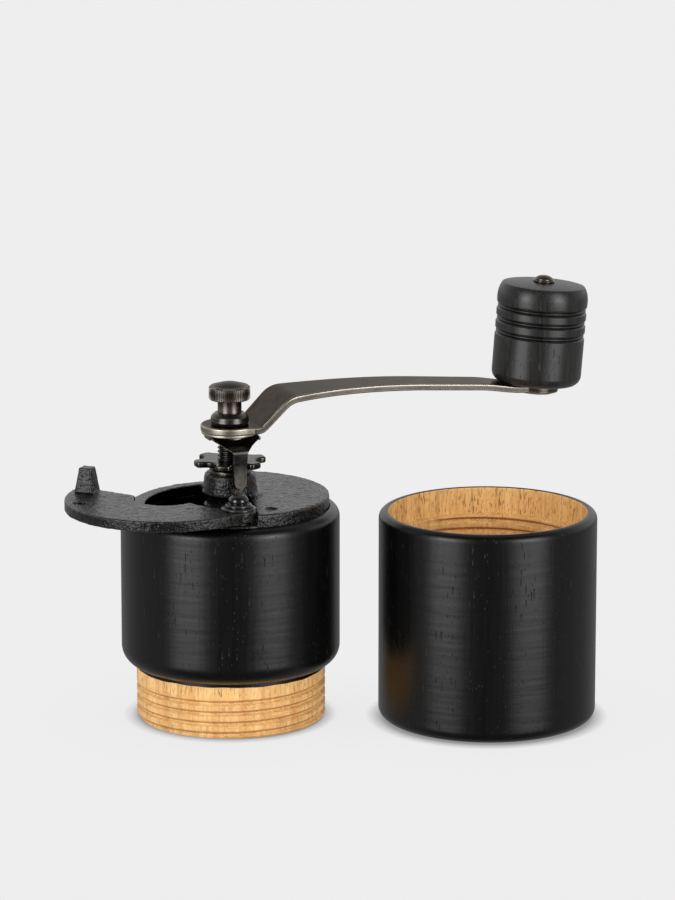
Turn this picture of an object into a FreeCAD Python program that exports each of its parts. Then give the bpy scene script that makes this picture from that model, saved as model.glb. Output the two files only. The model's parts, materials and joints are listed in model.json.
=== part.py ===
import FreeCAD, Part
import Sketcher
import math
import os

# Hand crank coffee grinder, all lengths in millimetres.
# Origin: spindle axis on the floor. +X towards the cup, +Y to the back, +Z up.

V = FreeCAD.Vector
Rot = FreeCAD.Rotation
Plc = FreeCAD.Placement
ZAX = V(0, 0, 1)

doc = FreeCAD.newDocument("coffee_grinder")
sheet = doc.addObject("Spreadsheet::Sheet", "dims")

DIMS = [
    # wooden body
    ("body_radius", 35.0), ("body_top", 69.0), ("neck_radius", 30.27), ("neck_top", 17.836),
    ("body_round_z", 23.7), ("shoulder_z", 65.5), ("recess_radius", 31.9), ("recess_floor", 66.2),
    ("hopper_radius", 27.6), ("hopper_low_radius", 18.5), ("carrier_bore", 24.4), ("ledge_z", 27.6),
    ("thread_pitch", 3.4),
    # cast top plate
    ("plate_radius", 31.66), ("plate_low_top", 69.7), ("plate_step", 3.2), ("boss_top", 79.8),
    ("boss_top_radius", 8.0), ("bush_radius", 6.0), ("hub_bottom", 52.0),
    ("spring_pocket_top", 62.0), ("opening_outer", 27.3), ("opening_inner", 8.4),
    # swivelling lid
    ("pivot_x", 3.3), ("pivot_y", -27.66), ("pin_radius", 2.5), ("flap_thickness", 3.4),
    ("flap_under", 70.95), ("flap_open_deg", 49.87), ("flap_inner", 10.15), ("lobe_radius", 5.45),
    # spindle stack
    ("spindle_radius", 4.0), ("spindle_bottom", 2.6), ("spindle_top", 96.2), ("star_bottom", 82.3),
    ("star_thickness", 2.0), ("star_radius", 11.7), ("clip_top", 92.6), ("eye_bottom", 93.45),
    ("eye_top", 95.65), ("eye_radius", 9.3), ("bead_top", 99.4),
    # crank
    ("crank_deg", 20.0), ("arm_thickness", 2.2), ("knob_station", 104.9),
    ("arm_end_deg", 4.574), ("end_step", 0.8), ("knob_radius", 14.55), ("knob_height", 33.15),
    # cup
    ("cup_x", 82.23), ("cup_y", -2.04), ("cup_radius", 34.85), ("cup_height", 67.74),
    ("cup_bore", 29.6), ("cup_rim_bore", 31.6), ("cup_floor", 7.0),
    # burrs
    ("burr_seat", 16.0), ("burr_cone_radius", 13.8), ("burr_ring_bore", 13.5),
]
D = {}
for row, (alias, value) in enumerate(DIMS, 1):
    sheet.set("A%d" % row, alias)
    sheet.set("B%d" % row, str(value))
    sheet.setAlias("B%d" % row, alias)
    D[alias] = value
doc.recompute()


def number(item):
    """Value of a float, or of a text such as 'alias', 'alias + 2' or 'alias - other'."""
    if not isinstance(item, str):
        return float(item)
    words = item.split()
    total = D[words[0]] if words[0] in D else float(words[0])
    for op, word in zip(words[1::2], words[2::2]):
        step = D[word] if word in D else float(word)
        total = total + step if op == "+" else total - step
    return total


def formula(item):
    return " ".join("dims." + w if w in D else w for w in item.split())


def origin_plane(body, role):
    for feature in body.Origin.OriginFeatures:
        if getattr(feature, "Role", "") == role:
            return feature
    raise ValueError(role)


def new_body(name):
    body = doc.addObject("PartDesign::Body", name)
    body.Label = name
    return body


def new_sketch(body, name, role="XY_Plane", z=0.0):
    sk = body.newObject("Sketcher::SketchObject", name)
    sk.AttachmentSupport = [(origin_plane(body, role), "")]
    sk.MapMode = "FlatFace"
    if z:
        sk.AttachmentOffset = Plc(V(0, 0, number(z)), Rot())
        if isinstance(z, str):
            sk.setExpression("AttachmentOffset.Base.z", formula(z))
    return sk


def outline(sk, items):
    """Closed outline. items: points (x, y), or (x, y, (mx, my)) where the way from the
    previous point to this one is an arc through (mx, my). Text entries are sheet formulas."""
    count = len(items)
    pts = [V(number(i[0]), number(i[1]), 0) for i in items]
    ends = []
    for k in range(count):
        a, b = pts[k], pts[(k + 1) % count]
        nxt = items[(k + 1) % count]
        if len(nxt) == 3:
            m = V(nxt[2][0], nxt[2][1], 0)
            turn = (m.x - a.x) * (b.y - a.y) - (m.y - a.y) * (b.x - a.x)
            if turn > 0:
                g = sk.addGeometry(Part.Arc(a, m, b), False)
                ends.append((g, 1, 2))
            else:
                g = sk.addGeometry(Part.Arc(b, m, a), False)
                ends.append((g, 2, 1))
        else:
            g = sk.addGeometry(Part.LineSegment(a, b), False)
            ends.append((g, 1, 2))
    for k in range(count):
        g0, s0, e0 = ends[k]
        g1, s1, e1 = ends[(k + 1) % count]
        sk.addConstraint(Sketcher.Constraint("Coincident", g0, e0, g1, s1))
    for k in range(count):
        g, s, e = ends[k]
        for axis, kind, line in ((0, "DistanceX", -2), (1, "DistanceY", -1)):
            val = number(items[k][axis])
            if abs(val) < 1e-9:
                sk.addConstraint(Sketcher.Constraint("PointOnObject", g, s, line))
            else:
                c = sk.addConstraint(Sketcher.Constraint(kind, -1, 1, g, s, val))
                if isinstance(items[k][axis], str):
                    sk.setExpression("Constraints[%d]" % c, formula(items[k][axis]))
    return sk


def disc(sk, x, y, r):
    g = sk.addGeometry(Part.Circle(V(number(x), number(y), 0), V(0, 0, 1), number(r)), False)
    c = sk.addConstraint(Sketcher.Constraint("Radius", g, number(r)))
    if isinstance(r, str):
        sk.setExpression("Constraints[%d]" % c, formula(r))
    for kind, val, line in (("DistanceX", x, -2), ("DistanceY", y, -1)):
        if abs(number(val)) < 1e-9:
            sk.addConstraint(Sketcher.Constraint("PointOnObject", g, 3, line))
        else:
            c = sk.addConstraint(Sketcher.Constraint(kind, -1, 1, g, 3, number(val)))
            if isinstance(val, str):
                sk.setExpression("Constraints[%d]" % c, formula(val))
    return sk


def turned(name, items, label=None):
    """A lathe-turned body: outline in (radius, height) revolved about Z."""
    body = new_body(name)
    if label:
        body.Label = label
    sk = outline(new_sketch(body, name + "_profile", "XZ_Plane"), items)
    rev = body.newObject("PartDesign::Revolution", name + "_turned")
    rev.Profile = sk
    rev.ReferenceAxis = (sk, ["V_Axis"])
    rev.Angle = 360.0
    body.Tip = rev
    return body


def pad(body, sk, name, length, midplane=False, reverse=False):
    p = body.newObject("PartDesign::Pad", name)
    p.Profile = sk
    p.Length = number(length)
    if isinstance(length, str):
        p.setExpression("Length", formula(length))
    if midplane:
        p.Midplane = True
    if reverse:
        p.Reversed = True
    body.Tip = p
    return p


def pocket(body, sk, name, length, midplane=False, reverse=False):
    before = None
    doc.recompute()
    before = body.Shape.Volume
    p = body.newObject("PartDesign::Pocket", name)
    p.Profile = sk
    p.Length = number(length)
    if isinstance(length, str):
        p.setExpression("Length", formula(length))
    if midplane:
        p.Midplane = True
    if reverse:
        p.Reversed = True
    body.Tip = p
    doc.recompute()
    assert body.Shape.Volume < before - 1e-3, "pocket cuts nothing: " + name
    return p


def polar(body, feature, name, count):
    pat = body.newObject("PartDesign::PolarPattern", name)
    pat.Originals = [feature]
    pat.Axis = (origin_plane(body, "Z_Axis"), [""])
    pat.Angle = 360.0
    pat.Occurrences = count
    body.Tip = pat
    doc.recompute()
    return pat


def round_edges(body, name, radius, test):
    """Fillet every edge of the body's tip for which test(edge) holds."""
    doc.recompute()
    base = body.Tip
    names = ["Edge%d" % (k + 1) for k, e in enumerate(base.Shape.Edges) if test(e)]
    assert names, "no edges: " + name
    f = body.newObject("PartDesign::Fillet", name)
    f.Base = (base, names)
    f.Radius = radius
    body.Tip = f
    doc.recompute()
    return f


def upright_at(points, tol=0.6):
    """Test for a vertical edge standing at one of the given plan points."""
    def test(e):
        a, b = e.Vertexes[0].Point, e.Vertexes[-1].Point
        if abs(a.x - b.x) > 1e-4 or abs(a.y - b.y) > 1e-4 or abs(a.z - b.z) < 0.5:
            return False
        return any(math.hypot(a.x - x, a.y - y) < tol for x, y in points)
    return test


def cylinder(name, radius, height, at=(0, 0, 0), rot=None):
    c = doc.addObject("Part::Cylinder", name)
    for prop, val in (("Radius", radius), ("Height", height)):
        setattr(c, prop, number(val))
        if isinstance(val, str):
            c.setExpression(prop, formula(val))
    c.Placement = Plc(V(number(at[0]), number(at[1]), number(at[2])), rot or Rot())
    for prop, val in (("x", at[0]), ("y", at[1]), ("z", at[2])):
        if isinstance(val, str):
            c.setExpression("Placement.Base." + prop, formula(val))
    return c


def cone(name, r1, r2, height, at):
    c = doc.addObject("Part::Cone", name)
    c.Radius1, c.Radius2, c.Height = r1, r2, height
    c.Placement = Plc(V(*at), Rot())
    return c


def cut(name, base, tools):
    doc.recompute()
    before = base.Shape.Volume
    if len(tools) > 1:
        tool = doc.addObject("Part::MultiFuse", name + "_tools")
        tool.Shapes = tools
    else:
        tool = tools[0]
    c = doc.addObject("Part::Cut", name + "_cut")
    c.Base, c.Tool = base, tool
    doc.recompute()
    assert c.Shape.Volume < before - 1e-3, "cut removes nothing: " + name
    return c


def helical_ridge(name, pitch, height, radius, start, section):
    """Solid swept along a helix; section is a closed (radius, height) outline."""
    helix = doc.addObject("Part::Helix", name + "_helix")
    helix.Pitch = number(pitch)
    if isinstance(pitch, str):
        helix.setExpression("Pitch", formula(pitch))
    helix.Height, helix.Radius = height, radius
    helix.Placement = Plc(V(0, 0, start), Rot())
    wire = doc.addObject("Part::Polygon", name + "_section")
    wire.Nodes = [V(r, 0, start + z) for r, z in section]
    wire.Close = True
    doc.recompute()
    sweep = doc.addObject("Part::Sweep", name)
    sweep.Sections = [wire]
    sweep.Spine = (helix, ["Edge%d" % (k + 1) for k in range(len(helix.Shape.Edges))])
    sweep.Solid = True
    sweep.Frenet = True
    doc.recompute()
    return sweep


NODES = []


def node(obj, name, placement=None, turn=None):
    """Register a finished piece. placement moves its base object."""
    obj.Label = name
    if placement is not None:
        obj.Placement = placement
    if turn is not None:
        obj.setExpression("Placement.Rotation.Angle", formula(turn))
    NODES.append((name, obj))
    return obj


def polar_xy(r, deg):
    return r * math.cos(math.radians(deg)), r * math.sin(math.radians(deg))


CRANK = Plc(V(0, 0, 0), Rot(ZAX, D["crank_deg"]))

# ---------------------------------------------------------------- wooden body
body_mid = (29 + 6 * math.cos(math.radians(-40)), 23.7 + 6 * math.sin(math.radians(-40)))
shoulder_mid = (31.5 + 3.5 * math.cos(math.radians(45)), 65.5 + 3.5 * math.sin(math.radians(45)))
housing_turned = turned("housing_turned_blank", [
    ("carrier_bore", 0), ("neck_radius - 0.9", 0), ("neck_radius", 0.9), ("neck_radius", "neck_top"),
    ("body_radius", "body_round_z", body_mid), ("body_radius", "shoulder_z"),
    ("recess_radius", "body_top - 0.023", shoulder_mid), ("recess_radius", "recess_floor"),
    ("hopper_radius", "recess_floor"), ("hopper_radius", 58.0), ("hopper_low_radius", 33.0),
    ("hopper_low_radius", "ledge_z"), ("carrier_bore", "ledge_z"),
])
neck_groove = helical_ridge("neck_thread", "thread_pitch", 14.3, D["neck_radius"], -1.0, [
    (29.35, 0.5), (29.35, -0.5), (31.2, -1.45), (31.2, 1.45)])
PLATE_SCREWS = [polar_xy(29.45, a) for a in (204.0, 246.0)]
CARRIER_SCREWS = [polar_xy(21.3, a) for a in (90.0, 210.0, 330.0)]
wood_holes = [neck_groove]
for k, (x, y) in enumerate(PLATE_SCREWS):
    wood_holes.append(cylinder("plate_pilot_%d" % (k + 1), 1.25, 12.0, (x, y, 55.0)))
for k, (x, y) in enumerate(CARRIER_SCREWS):
    wood_holes.append(cylinder("carrier_pilot_%d" % (k + 1), 1.4, 10.0, (x, y, 27.0)))
wood_holes.append(cylinder("pivot_relief", 4.6, 3.0, ("pivot_x", "pivot_y", "recess_floor - 2.2")))
housing = node(cut("housing", housing_turned, wood_holes), "housing")

# ---------------------------------------------------------------- cast top plate
plate_body = turned("plate_casting", [
    (7.2, "hub_bottom"), (9.0, "hub_bottom"), (9.0, 62.6), (7.4, 63.8), (7.4, "recess_floor"),
    ("plate_radius", "recess_floor"), ("plate_radius", "plate_low_top - 0.5"),
    ("plate_radius - 0.5", "plate_low_top"), (7.4, "plate_low_top"), (7.4, 72.9), (8.5, 73.2), (9.0, 73.6), (8.8, 74.2),
    ("boss_top_radius", "boss_top - 0.4"), ("boss_top_radius - 0.4", "boss_top"),
    ("bush_radius", "boss_top"), ("bush_radius", "spring_pocket_top"), (7.2, "spring_pocket_top"),
])
R = D["plate_radius"]
step_x, back_x = 9.4, -5.6
sk = outline(new_sketch(plate_body, "raised_half", "XY_Plane", "plate_low_top - 0.6"), [
    (step_x, -math.sqrt(R * R - step_x ** 2)), (back_x, math.sqrt(R * R - back_x ** 2), (R, 0)),
    (-2.2, math.sqrt(49 - 2.2 ** 2)), (6.55, -math.sqrt(49 - 6.55 ** 2), (7 * math.cos(0.7), 7 * math.sin(0.7)))])
pad(plate_body, sk, "raised_half_pad", "plate_step + 0.6")
# raised ring around the foot of the boss, on the raised half only
sk = outline(new_sketch(plate_body, "boss_ring", "XY_Plane", "plate_low_top + plate_step - 0.2"), [
    polar_xy(10.3, -42), polar_xy(10.3, 96) + (polar_xy(10.3, 27),), polar_xy(7.0, 96), polar_xy(7.0, -42) + (polar_xy(7.0, 27),)])
pad(plate_body, sk, "boss_ring_pad", 0.75)
ro, ri = D["opening_outer"], D["opening_inner"]
corners = [polar_xy(ro, 109), polar_xy(ro, 251), polar_xy(ri, 251), polar_xy(ri, 109)]
sk = outline(new_sketch(plate_body, "hopper_opening", "XY_Plane", "plate_low_top + 0.1"), [
    corners[0], corners[1] + ((-ro, 0),), corners[2], corners[3] + ((-ri, 0),)])
pocket(plate_body, sk, "hopper_opening_cut", 3.7)
round_edges(plate_body, "opening_corners", 2.5, upright_at(corners))
sk = disc(new_sketch(plate_body, "pivot_hole", "XY_Plane", "plate_low_top + 0.1"), "pivot_x", "pivot_y", "pin_radius")
pocket(plate_body, sk, "pivot_hole_cut", 3.7)
rim_top = D["plate_low_top"] + D["plate_step"]


def raised_rim(e):
    return all(abs(v.Point.z - rim_top) < 1e-3 for v in e.Vertexes) and \
        all(abs(math.hypot(v.Point.x, v.Point.y) - R) < 1e-2 for v in e.Vertexes) and \
        abs(math.hypot(e.valueAt(e.FirstParameter).x, e.valueAt(e.FirstParameter).y) - R) < 1e-2 and \
        e.Length > 30


round_edges(plate_body, "raised_rim_round", 0.6, raised_rim)
plate_tools = []
for k, (x, y) in enumerate(PLATE_SCREWS):
    plate_tools.append(cylinder("plate_screw_way_%d" % (k + 1), 1.25, 4.0, (x, y, 65.9)))
    plate_tools.append(cone("plate_sink_%d" % (k + 1), 1.3, 2.45, 1.15, (x, y, D["plate_low_top"] - 1.1)))
dimple = doc.addObject("Part::Sphere", "plate_dimple")
dimple.Radius = 4.0
dimple.Placement = Plc(V(13.4, -21.4, rim_top + 3.2), Rot())
plate_tools.append(dimple)
top_plate = node(cut("top_plate", plate_body, plate_tools), "top_plate")

for k, (x, y) in enumerate(PLATE_SCREWS):
    name = "plate_screw_%d" % (k + 1)
    b = turned(name + "_blank", [(0, -14.0), (1.25, -12.6), (1.25, -1.05), (2.3, 0), (0, 0)])
    slot = doc.addObject("Part::Box", name + "_slot")
    slot.Length, slot.Width, slot.Height = 6.0, 0.6, 1.0
    slot.Placement = Plc(V(-3.0, -0.3, -0.55), Rot())
    node(cut(name, b, [slot]), name, Plc(V(x, y, D["plate_low_top"] - 0.02), Rot(ZAX, 35.0 + 70.0 * k)))

bush = turned("shaft_bush", [(4.05, "spring_pocket_top"), ("bush_radius", "spring_pocket_top"),
                             ("bush_radius", "boss_top - 0.05"), (4.05, "boss_top - 0.05")])
node(bush, "shaft_bush")

# ---------------------------------------------------------------- lid and its pivot
PX, PY = D["pivot_x"], D["pivot_y"]
flap_body = new_body("flap_casting")


def lid(x, y):
    return x - PX, y - PY


d = math.hypot(PX, PY)
RL = R + 0.45
along = (RL * RL - D["lobe_radius"] ** 2 + d * d) / (2 * d)
aside = math.sqrt(RL * RL - along * along)
ux, uy = PX / d, PY / d
meet = (along * ux + aside * uy, along * uy - aside * ux)
ri = D["flap_inner"]
back_in, back_out, front_edge = -3.85, -6.35, -0.3
S0 = (back_in, math.sqrt(ri * ri - back_in ** 2))
S1 = (back_out, math.sqrt(RL * RL - back_out ** 2))
S3 = (front_edge, PY + math.sqrt(D["lobe_radius"] ** 2 - (front_edge - PX) ** 2))
S4 = (front_edge, -math.sqrt(ri * ri - front_edge ** 2))
sk = outline(new_sketch(flap_body, "lid_outline"), [
    lid(*S0), lid(*S1), lid(*meet) + (lid(-RL, 0),), lid(*S3) + (lid(PX + D["lobe_radius"], PY),),
    lid(*S4)])
# the last side, from S4 back to S0, is the arc that clears the boss
sk.delGeometry(sk.GeometryCount - 1)
a, m, b = V(*lid(*S0), 0), V(*lid(-ri, 0), 0), V(*lid(*S4), 0)
sk.addGeometry(Part.Arc(a, m, b), False)
last = sk.GeometryCount - 1
sk.addConstraint(Sketcher.Constraint("Coincident", last, 1, 0, 1))
sk.addConstraint(Sketcher.Constraint("Coincident", last, 2, last - 1, 2))
pad(flap_body, sk, "lid_plate", "flap_thickness")
round_edges(flap_body, "lid_tip_corner", 4.0, upright_at([lid(*S1)]))
round_edges(flap_body, "lid_boss_corner", 1.0, upright_at([lid(*S4), lid(*S0)]))
round_edges(flap_body, "lid_lobe_corner", 3.0, upright_at([lid(*S3)]))
sk = disc(new_sketch(flap_body, "lid_pivot_hole", "XY_Plane", "flap_thickness + 0.1"), 0, 0, "pin_radius + 0.08")
pocket(flap_body, sk, "lid_pivot_cut", 4.0)


def lid_top(e):
    return all(abs(v.Point.z - D["flap_thickness"]) < 1e-4 for v in e.Vertexes) and e.Length > 17.0


round_edges(flap_body, "lid_top_round", 0.5, lid_top)
post_c = polar_xy(27.0, 110.13)
post_body = new_body("finger_post")
base_z = D["flap_thickness"] - 0.4
sk = outline(new_sketch(post_body, "post_foot", "XY_Plane", base_z), [(-3.25, -3.25), (3.25, -3.25), (3.25, 3.25), (-3.25, 3.25)])
post = pad(post_body, sk, "post_pad", 8.2)
post.TaperAngle = -8.3
doc.recompute()
round_edges(post_body, "post_edges", 0.45, lambda e: max(v.Point.z for v in e.Vertexes) > base_z + 1.0)
post_body.Placement = Plc(V(*lid(*post_c), 0), Rot(ZAX, 110.13))
fused = doc.addObject("Part::MultiFuse", "lid_with_post")
fused.Shapes = [flap_body, post_body]
dim = cone("lid_dimple", 1.5, 2.15, 2.4, lid(-22.9, 15.87) + (D["flap_thickness"] - 2.35,))
flap = node(cut("hopper_flap", fused, [dim]), "hopper_flap",
            Plc(V(PX, PY, D["flap_under"]), Rot(ZAX, D["flap_open_deg"])))
flap.setExpression("Placement.Base.z", formula("flap_under"))

PIV = Plc(V(PX, PY, 0), Rot())
pin = turned("flap_pivot", [
    (0, 64.5), (2.2, 64.7), (4.0, 65.5), (4.0, "recess_floor"), ("pin_radius", "recess_floor"),
    ("pin_radius", 76.3), ("pin_radius - 0.4", 76.75), (0, 76.75)])
node(pin, "flap_pivot", PIV)
cap = turned("flap_cap", [
    ("pin_radius", "flap_under + flap_thickness + 0.05"), (5.35, "flap_under + flap_thickness + 0.05"), (5.35, 74.8),
    (4.8, 75.1), (3.85, 75.2), (3.85, 75.4), (4.15, 75.5), (4.15, 75.85), (3.8, 76.15), (3.15, 76.25), (3.15, 77.3),
    (0.5, 79.1, (2.3, 78.6)), (0, 79.1), (0, 76.8), ("pin_radius", 76.8)])
node(cap, "flap_cap", PIV)
wave = turned("flap_spring_washer", [
    (3.75, "plate_low_top"), (3.75, "plate_low_top + 0.5"), (2.8, "flap_under - 0.04"), (2.8, "flap_under - 0.54")])
node(wave, "flap_spring_washer", PIV)

# ---------------------------------------------------------------- burr carrier and standing burr
carrier_body = turned("carrier_casting", [
    (15.0, 9.0), (18.4, 9.0), (18.4, 23.6), (24.0, 23.6), (24.0, "ledge_z"), ("burr_seat", "ledge_z"),
    ("burr_seat", 11.0), (15.0, 11.0)])
sk = outline(new_sketch(carrier_body, "spider_arm", "XZ_Plane"), [
    (5.6, 3.2), (17.0, 4.4), (18.35, 6.0), (18.35, 9.6), (15.2, 9.6), (15.2, 8.2), (9.5, 7.4), (5.6, 7.4)])
arm_pad = pad(carrier_body, sk, "spider_arm_pad", 4.6, midplane=True)
polar(carrier_body, arm_pad, "spider_arms", 3)
sk = new_sketch(carrier_body, "hub_ring", "XY_Plane", 3.2)
disc(sk, 0, 0, 7.0)
pad(carrier_body, sk, "hub_pad", 4.2)
sk = disc(new_sketch(carrier_body, "hub_bore", "XY_Plane", 7.6), 0, 0, 5.0)
pocket(carrier_body, sk, "hub_bore_cut", 5.0)
carrier_tools = [cylinder("carrier_way_%d" % (k + 1), 1.4, 5.0, (x, y, 23.0)) for k, (x, y) in enumerate(CARRIER_SCREWS)]
node(cut("burr_carrier", carrier_body, carrier_tools), "burr_carrier")
node(turned("lower_bush", [(3.55, 3.2), (5.0, 3.2), (5.0, 7.6), (3.55, 7.6)]), "lower_bush")

ring = turned("outer_burr", [
    ("burr_ring_bore + 1.1", 11.0), ("burr_seat", 11.0), ("burr_seat", "ledge_z - 0.2"), (14.9, "ledge_z - 0.2"), ("burr_ring_bore", 13.8)])
sk = outline(new_sketch(ring, "ring_tooth_gap", "XZ_Plane"), [(12.8, 12.9), (14.2, 12.9), (15.4, 28.0), (12.8, 28.0)])
gap = pocket(ring, sk, "ring_tooth_cut", 2.0, midplane=True)
polar(ring, gap, "ring_teeth", 14)
node(ring, "outer_burr")

for k, (x, y) in enumerate(CARRIER_SCREWS):
    name = "carrier_screw_%d" % (k + 1)
    b = turned(name + "_blank", [(0, 13.4), (1.4, 12.2), (1.4, 0), (2.8, 0), (2.8, -0.8), (1.6, -1.7), (0, -1.8)])
    slot = doc.addObject("Part::Box", name + "_slot")
    slot.Length, slot.Width, slot.Height = 7.0, 0.7, 1.0
    slot.Placement = Plc(V(-3.5, -0.35, -2.0), Rot())
    node(cut(name, b, [slot]), name, Plc(V(x, y, 23.6), Rot(ZAX, 25.0 + 40.0 * k)))

# ---------------------------------------------------------------- spindle and turning burr
shaft_body = turned("spindle_blank", [
    (0, "spindle_bottom"), (3.0, "spindle_bottom"), (3.5, "spindle_bottom + 0.5"), (3.5, 8.5), ("spindle_radius", 8.5),
    ("spindle_radius", 26.0), (6.0, 26.0), (6.0, 28.0), (5.5, 28.5), ("spindle_radius", 28.5),
    ("spindle_radius", 50.9), (3.3, 50.9), (3.3, 52.0), ("spindle_radius", 52.0), ("spindle_radius", 79.6),
    (3.9, 79.9), (3.9, "spindle_top - 0.4"), (3.5, "spindle_top"), (2.53, "spindle_top"), (2.53, 84.0), (0, 82.6)])
shaft_groove = helical_ridge("spindle_thread", 1.25, 12.5, 3.9, 80.4, [
    (3.3, 0.08), (3.3, -0.08), (4.2, -0.62), (4.2, 0.62)])
flats = []
for side in (1, -1):
    f = doc.addObject("Part::Box", "spindle_flat_%s" % ("a" if side > 0 else "b"))
    f.Length, f.Width, f.Height = 12.0, 3.0, 8.0
    ang = math.radians(D["crank_deg"])
    # a flat 3.1 from the axis, square to the crank's direction
    corner = V(-6.0, 3.1 if side > 0 else -6.1, 90.2)
    f.Placement = CRANK.multiply(Plc(corner, Rot()))
    flats.append(f)
node(cut("shaft", shaft_body, [shaft_groove] + flats), "shaft")

cone_burr = turned("inner_burr", [
    ("spindle_radius", 12.0), ("burr_cone_radius", 12.0), ("burr_cone_radius - 0.707", 13.8), (7.2, 26.0), ("spindle_radius", 26.0)])
sk = outline(new_sketch(cone_burr, "cone_tooth_gap", "XZ_Plane"), [(12.5, 13.2), (15.0, 13.2), (15.0, 27.0), (5.7, 27.0)])
gap = pocket(cone_burr, sk, "cone_tooth_cut", 1.7, midplane=True)
polar(cone_burr, gap, "cone_teeth", 12)
node(cone_burr, "inner_burr")
node(turned("burr_washer", [("spindle_radius", 11.4), (7.0, 11.4), (7.0, 12.0), ("spindle_radius", 12.0)]), "burr_washer")


def hexagon(sk, across):
    rr = across / math.sqrt(3)
    return outline(sk, [polar_xy(rr, 15 + 60 * k) for k in range(6)])


nut_body = new_body("burr_nut")
sk = hexagon(new_sketch(nut_body, "hex", "XY_Plane", 8.6), 12.5)
pad(nut_body, sk, "hex_pad", 2.8)
sk = disc(new_sketch(nut_body, "nut_bore", "XY_Plane", 11.5), 0, 0, "spindle_radius")
pocket(nut_body, sk, "nut_bore_cut", 4.0)
node(nut_body, "burr_nut")

ring_body = turned("retaining_ring_blank", [(3.3, 50.9), (6.0, 50.9), (6.0, 52.0), (3.3, 52.0)])
gap = doc.addObject("Part::Box", "retaining_gap")
gap.Length, gap.Width, gap.Height = 8.0, 4.4, 3.0
gap.Placement = Plc(V(0, -2.2, 50.0), Rot())
node(cut("retaining_ring", ring_body, [gap]), "retaining_ring")
node(turned("spring_seat", [("spindle_radius", 52.0), (6.8, 52.0), (6.8, 53.2), ("spindle_radius", 53.2)]), "spring_seat")

coil = doc.addObject("Part::Helix", "spring_helix")
coil.Pitch, coil.Height, coil.Radius = 1.95, 7.3, 5.5
coil.Placement = Plc(V(0, 0, 53.95), Rot())
# wire of 1.3 mm, drawn as a twelve-sided section of the same area
ring_wire = doc.addObject("Part::RegularPolygon", "spring_wire")
ring_wire.Polygon = 12
ring_wire.Circumradius = 0.65 * math.sqrt(2 * math.pi / (12 * math.sin(math.pi / 6)))
ring_wire.Placement = Plc(V(5.5, 0, 53.95), Rot(V(1, 0, 0), 90))
doc.recompute()
spring = doc.addObject("Part::Sweep", "thrust_spring")
spring.Sections = [ring_wire]
spring.Spine = (coil, ["Edge%d" % (k + 1) for k in range(len(coil.Shape.Edges))])
spring.Solid = True
spring.Frenet = True
node(spring, "thrust_spring")

# ---------------------------------------------------------------- star nut
node(turned("thrust_washer", [(4.1, "boss_top + 0.05"), (6.6, "boss_top + 0.05"), (6.6, 80.95), (4.1, 80.95)]), "thrust_washer")
star = new_body("adjusting_nut")
sk = disc(new_sketch(star, "star_disc", "XY_Plane", "star_bottom"), 0, 0, "star_radius")
pad(star, sk, "star_pad", "star_thickness")
notch_c = polar_xy(12.0, -70.0)
sk = disc(new_sketch(star, "star_notch", "XY_Plane", "star_bottom + star_thickness + 0.1"), notch_c[0], notch_c[1], 3.6)
gap = pocket(star, sk, "star_notch_cut", 3.2)
polar(star, gap, "star_notches", 6)
round_edges(star, "star_tips", 1.3, lambda e: abs(e.Vertexes[0].Point.z - e.Vertexes[-1].Point.z) > 1.5
            and abs(math.hypot(e.Vertexes[0].Point.x, e.Vertexes[0].Point.y) - D["star_radius"]) < 0.01)
sk = disc(new_sketch(star, "star_hub", "XY_Plane", 80.95), 0, 0, 5.8)
pad(star, sk, "star_hub_pad", 1.6)
sk = disc(new_sketch(star, "star_bore", "XY_Plane", 84.5), 0, 0, 3.95)
pocket(star, sk, "star_bore_cut", 4.0)


def star_rim(e):
    zs = [v.Point.z for v in e.Vertexes]
    top = D["star_bottom"] + D["star_thickness"]
    level = all(abs(z - top) < 1e-4 for z in zs) or all(abs(z - D["star_bottom"]) < 1e-4 for z in zs)
    return level and all(math.hypot(v.Point.x, v.Point.y) > 8.0 for v in e.Vertexes)


round_edges(star, "star_rims", 0.6, star_rim)
node(star, "adjusting_nut")

# ---------------------------------------------------------------- lock clip (own frame: crank along +X)
clip_disc = turned("clip_dish", [(3.0, 90.4), (4.4, 90.4), (6.6, 91.4), (6.6, "clip_top"), (3.0, "clip_top")])
leg_body = new_body("clip_leg")
sk = outline(new_sketch(leg_body, "leg_side", "YZ_Plane"), [
    (-2.0, 91.2), (-2.0, 92.3), (-5.4, 92.3), (-10.35, 89.1), (-11.0, 87.9, (-10.83, 88.58)), (-10.35, 80.6), (-10.75, 76.3), (-9.75, 76.3),
    (-9.35, 80.6), (-10.0, 87.75), (-9.7, 88.3, (-9.92, 88.06)), (-5.2, 91.2)])
pad(leg_body, sk, "leg_side_pad", 20.0, midplane=True)
front_body = new_body("clip_leg_front")
sk = outline(new_sketch(front_body, "leg_front", "XZ_Plane"), [
    (-7.7, 93.0), (-7.5, 91.6), (-3.4, 89.0, (-5.3, 90.2)), (-2.35, 87.2, (-2.6, 88.2)), (-2.3, 84.0), (-2.05, 78.0),
    (2.05, 78.0, (0, 76.3)), (2.3, 84.0), (2.35, 87.2), (3.6, 89.2, (2.65, 88.3)), (7.9, 91.4, (5.7, 90.5)), (8.1, 93.0)])
pad(front_body, sk, "leg_front_pad", 30.0, midplane=True)
leg = doc.addObject("Part::MultiCommon", "clip_leg_shape")
leg.Shapes = [leg_body, front_body]
wing_body = new_body("clip_wings")
sk = outline(new_sketch(wing_body, "wing_side", "XZ_Plane"), [
    (-7.6, 91.0), (-5.6, 91.4), (5.6, 91.4), (9.4, 89.9), (9.8, 90.9), (5.9, "clip_top"), (-5.9, "clip_top"), (-7.9, 92.1)])
pad(wing_body, sk, "wing_pad", 5.0, midplane=True)
clip_fuse = doc.addObject("Part::MultiFuse", "clip_blank")
clip_fuse.Shapes = [clip_disc, leg, wing_body]


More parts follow.
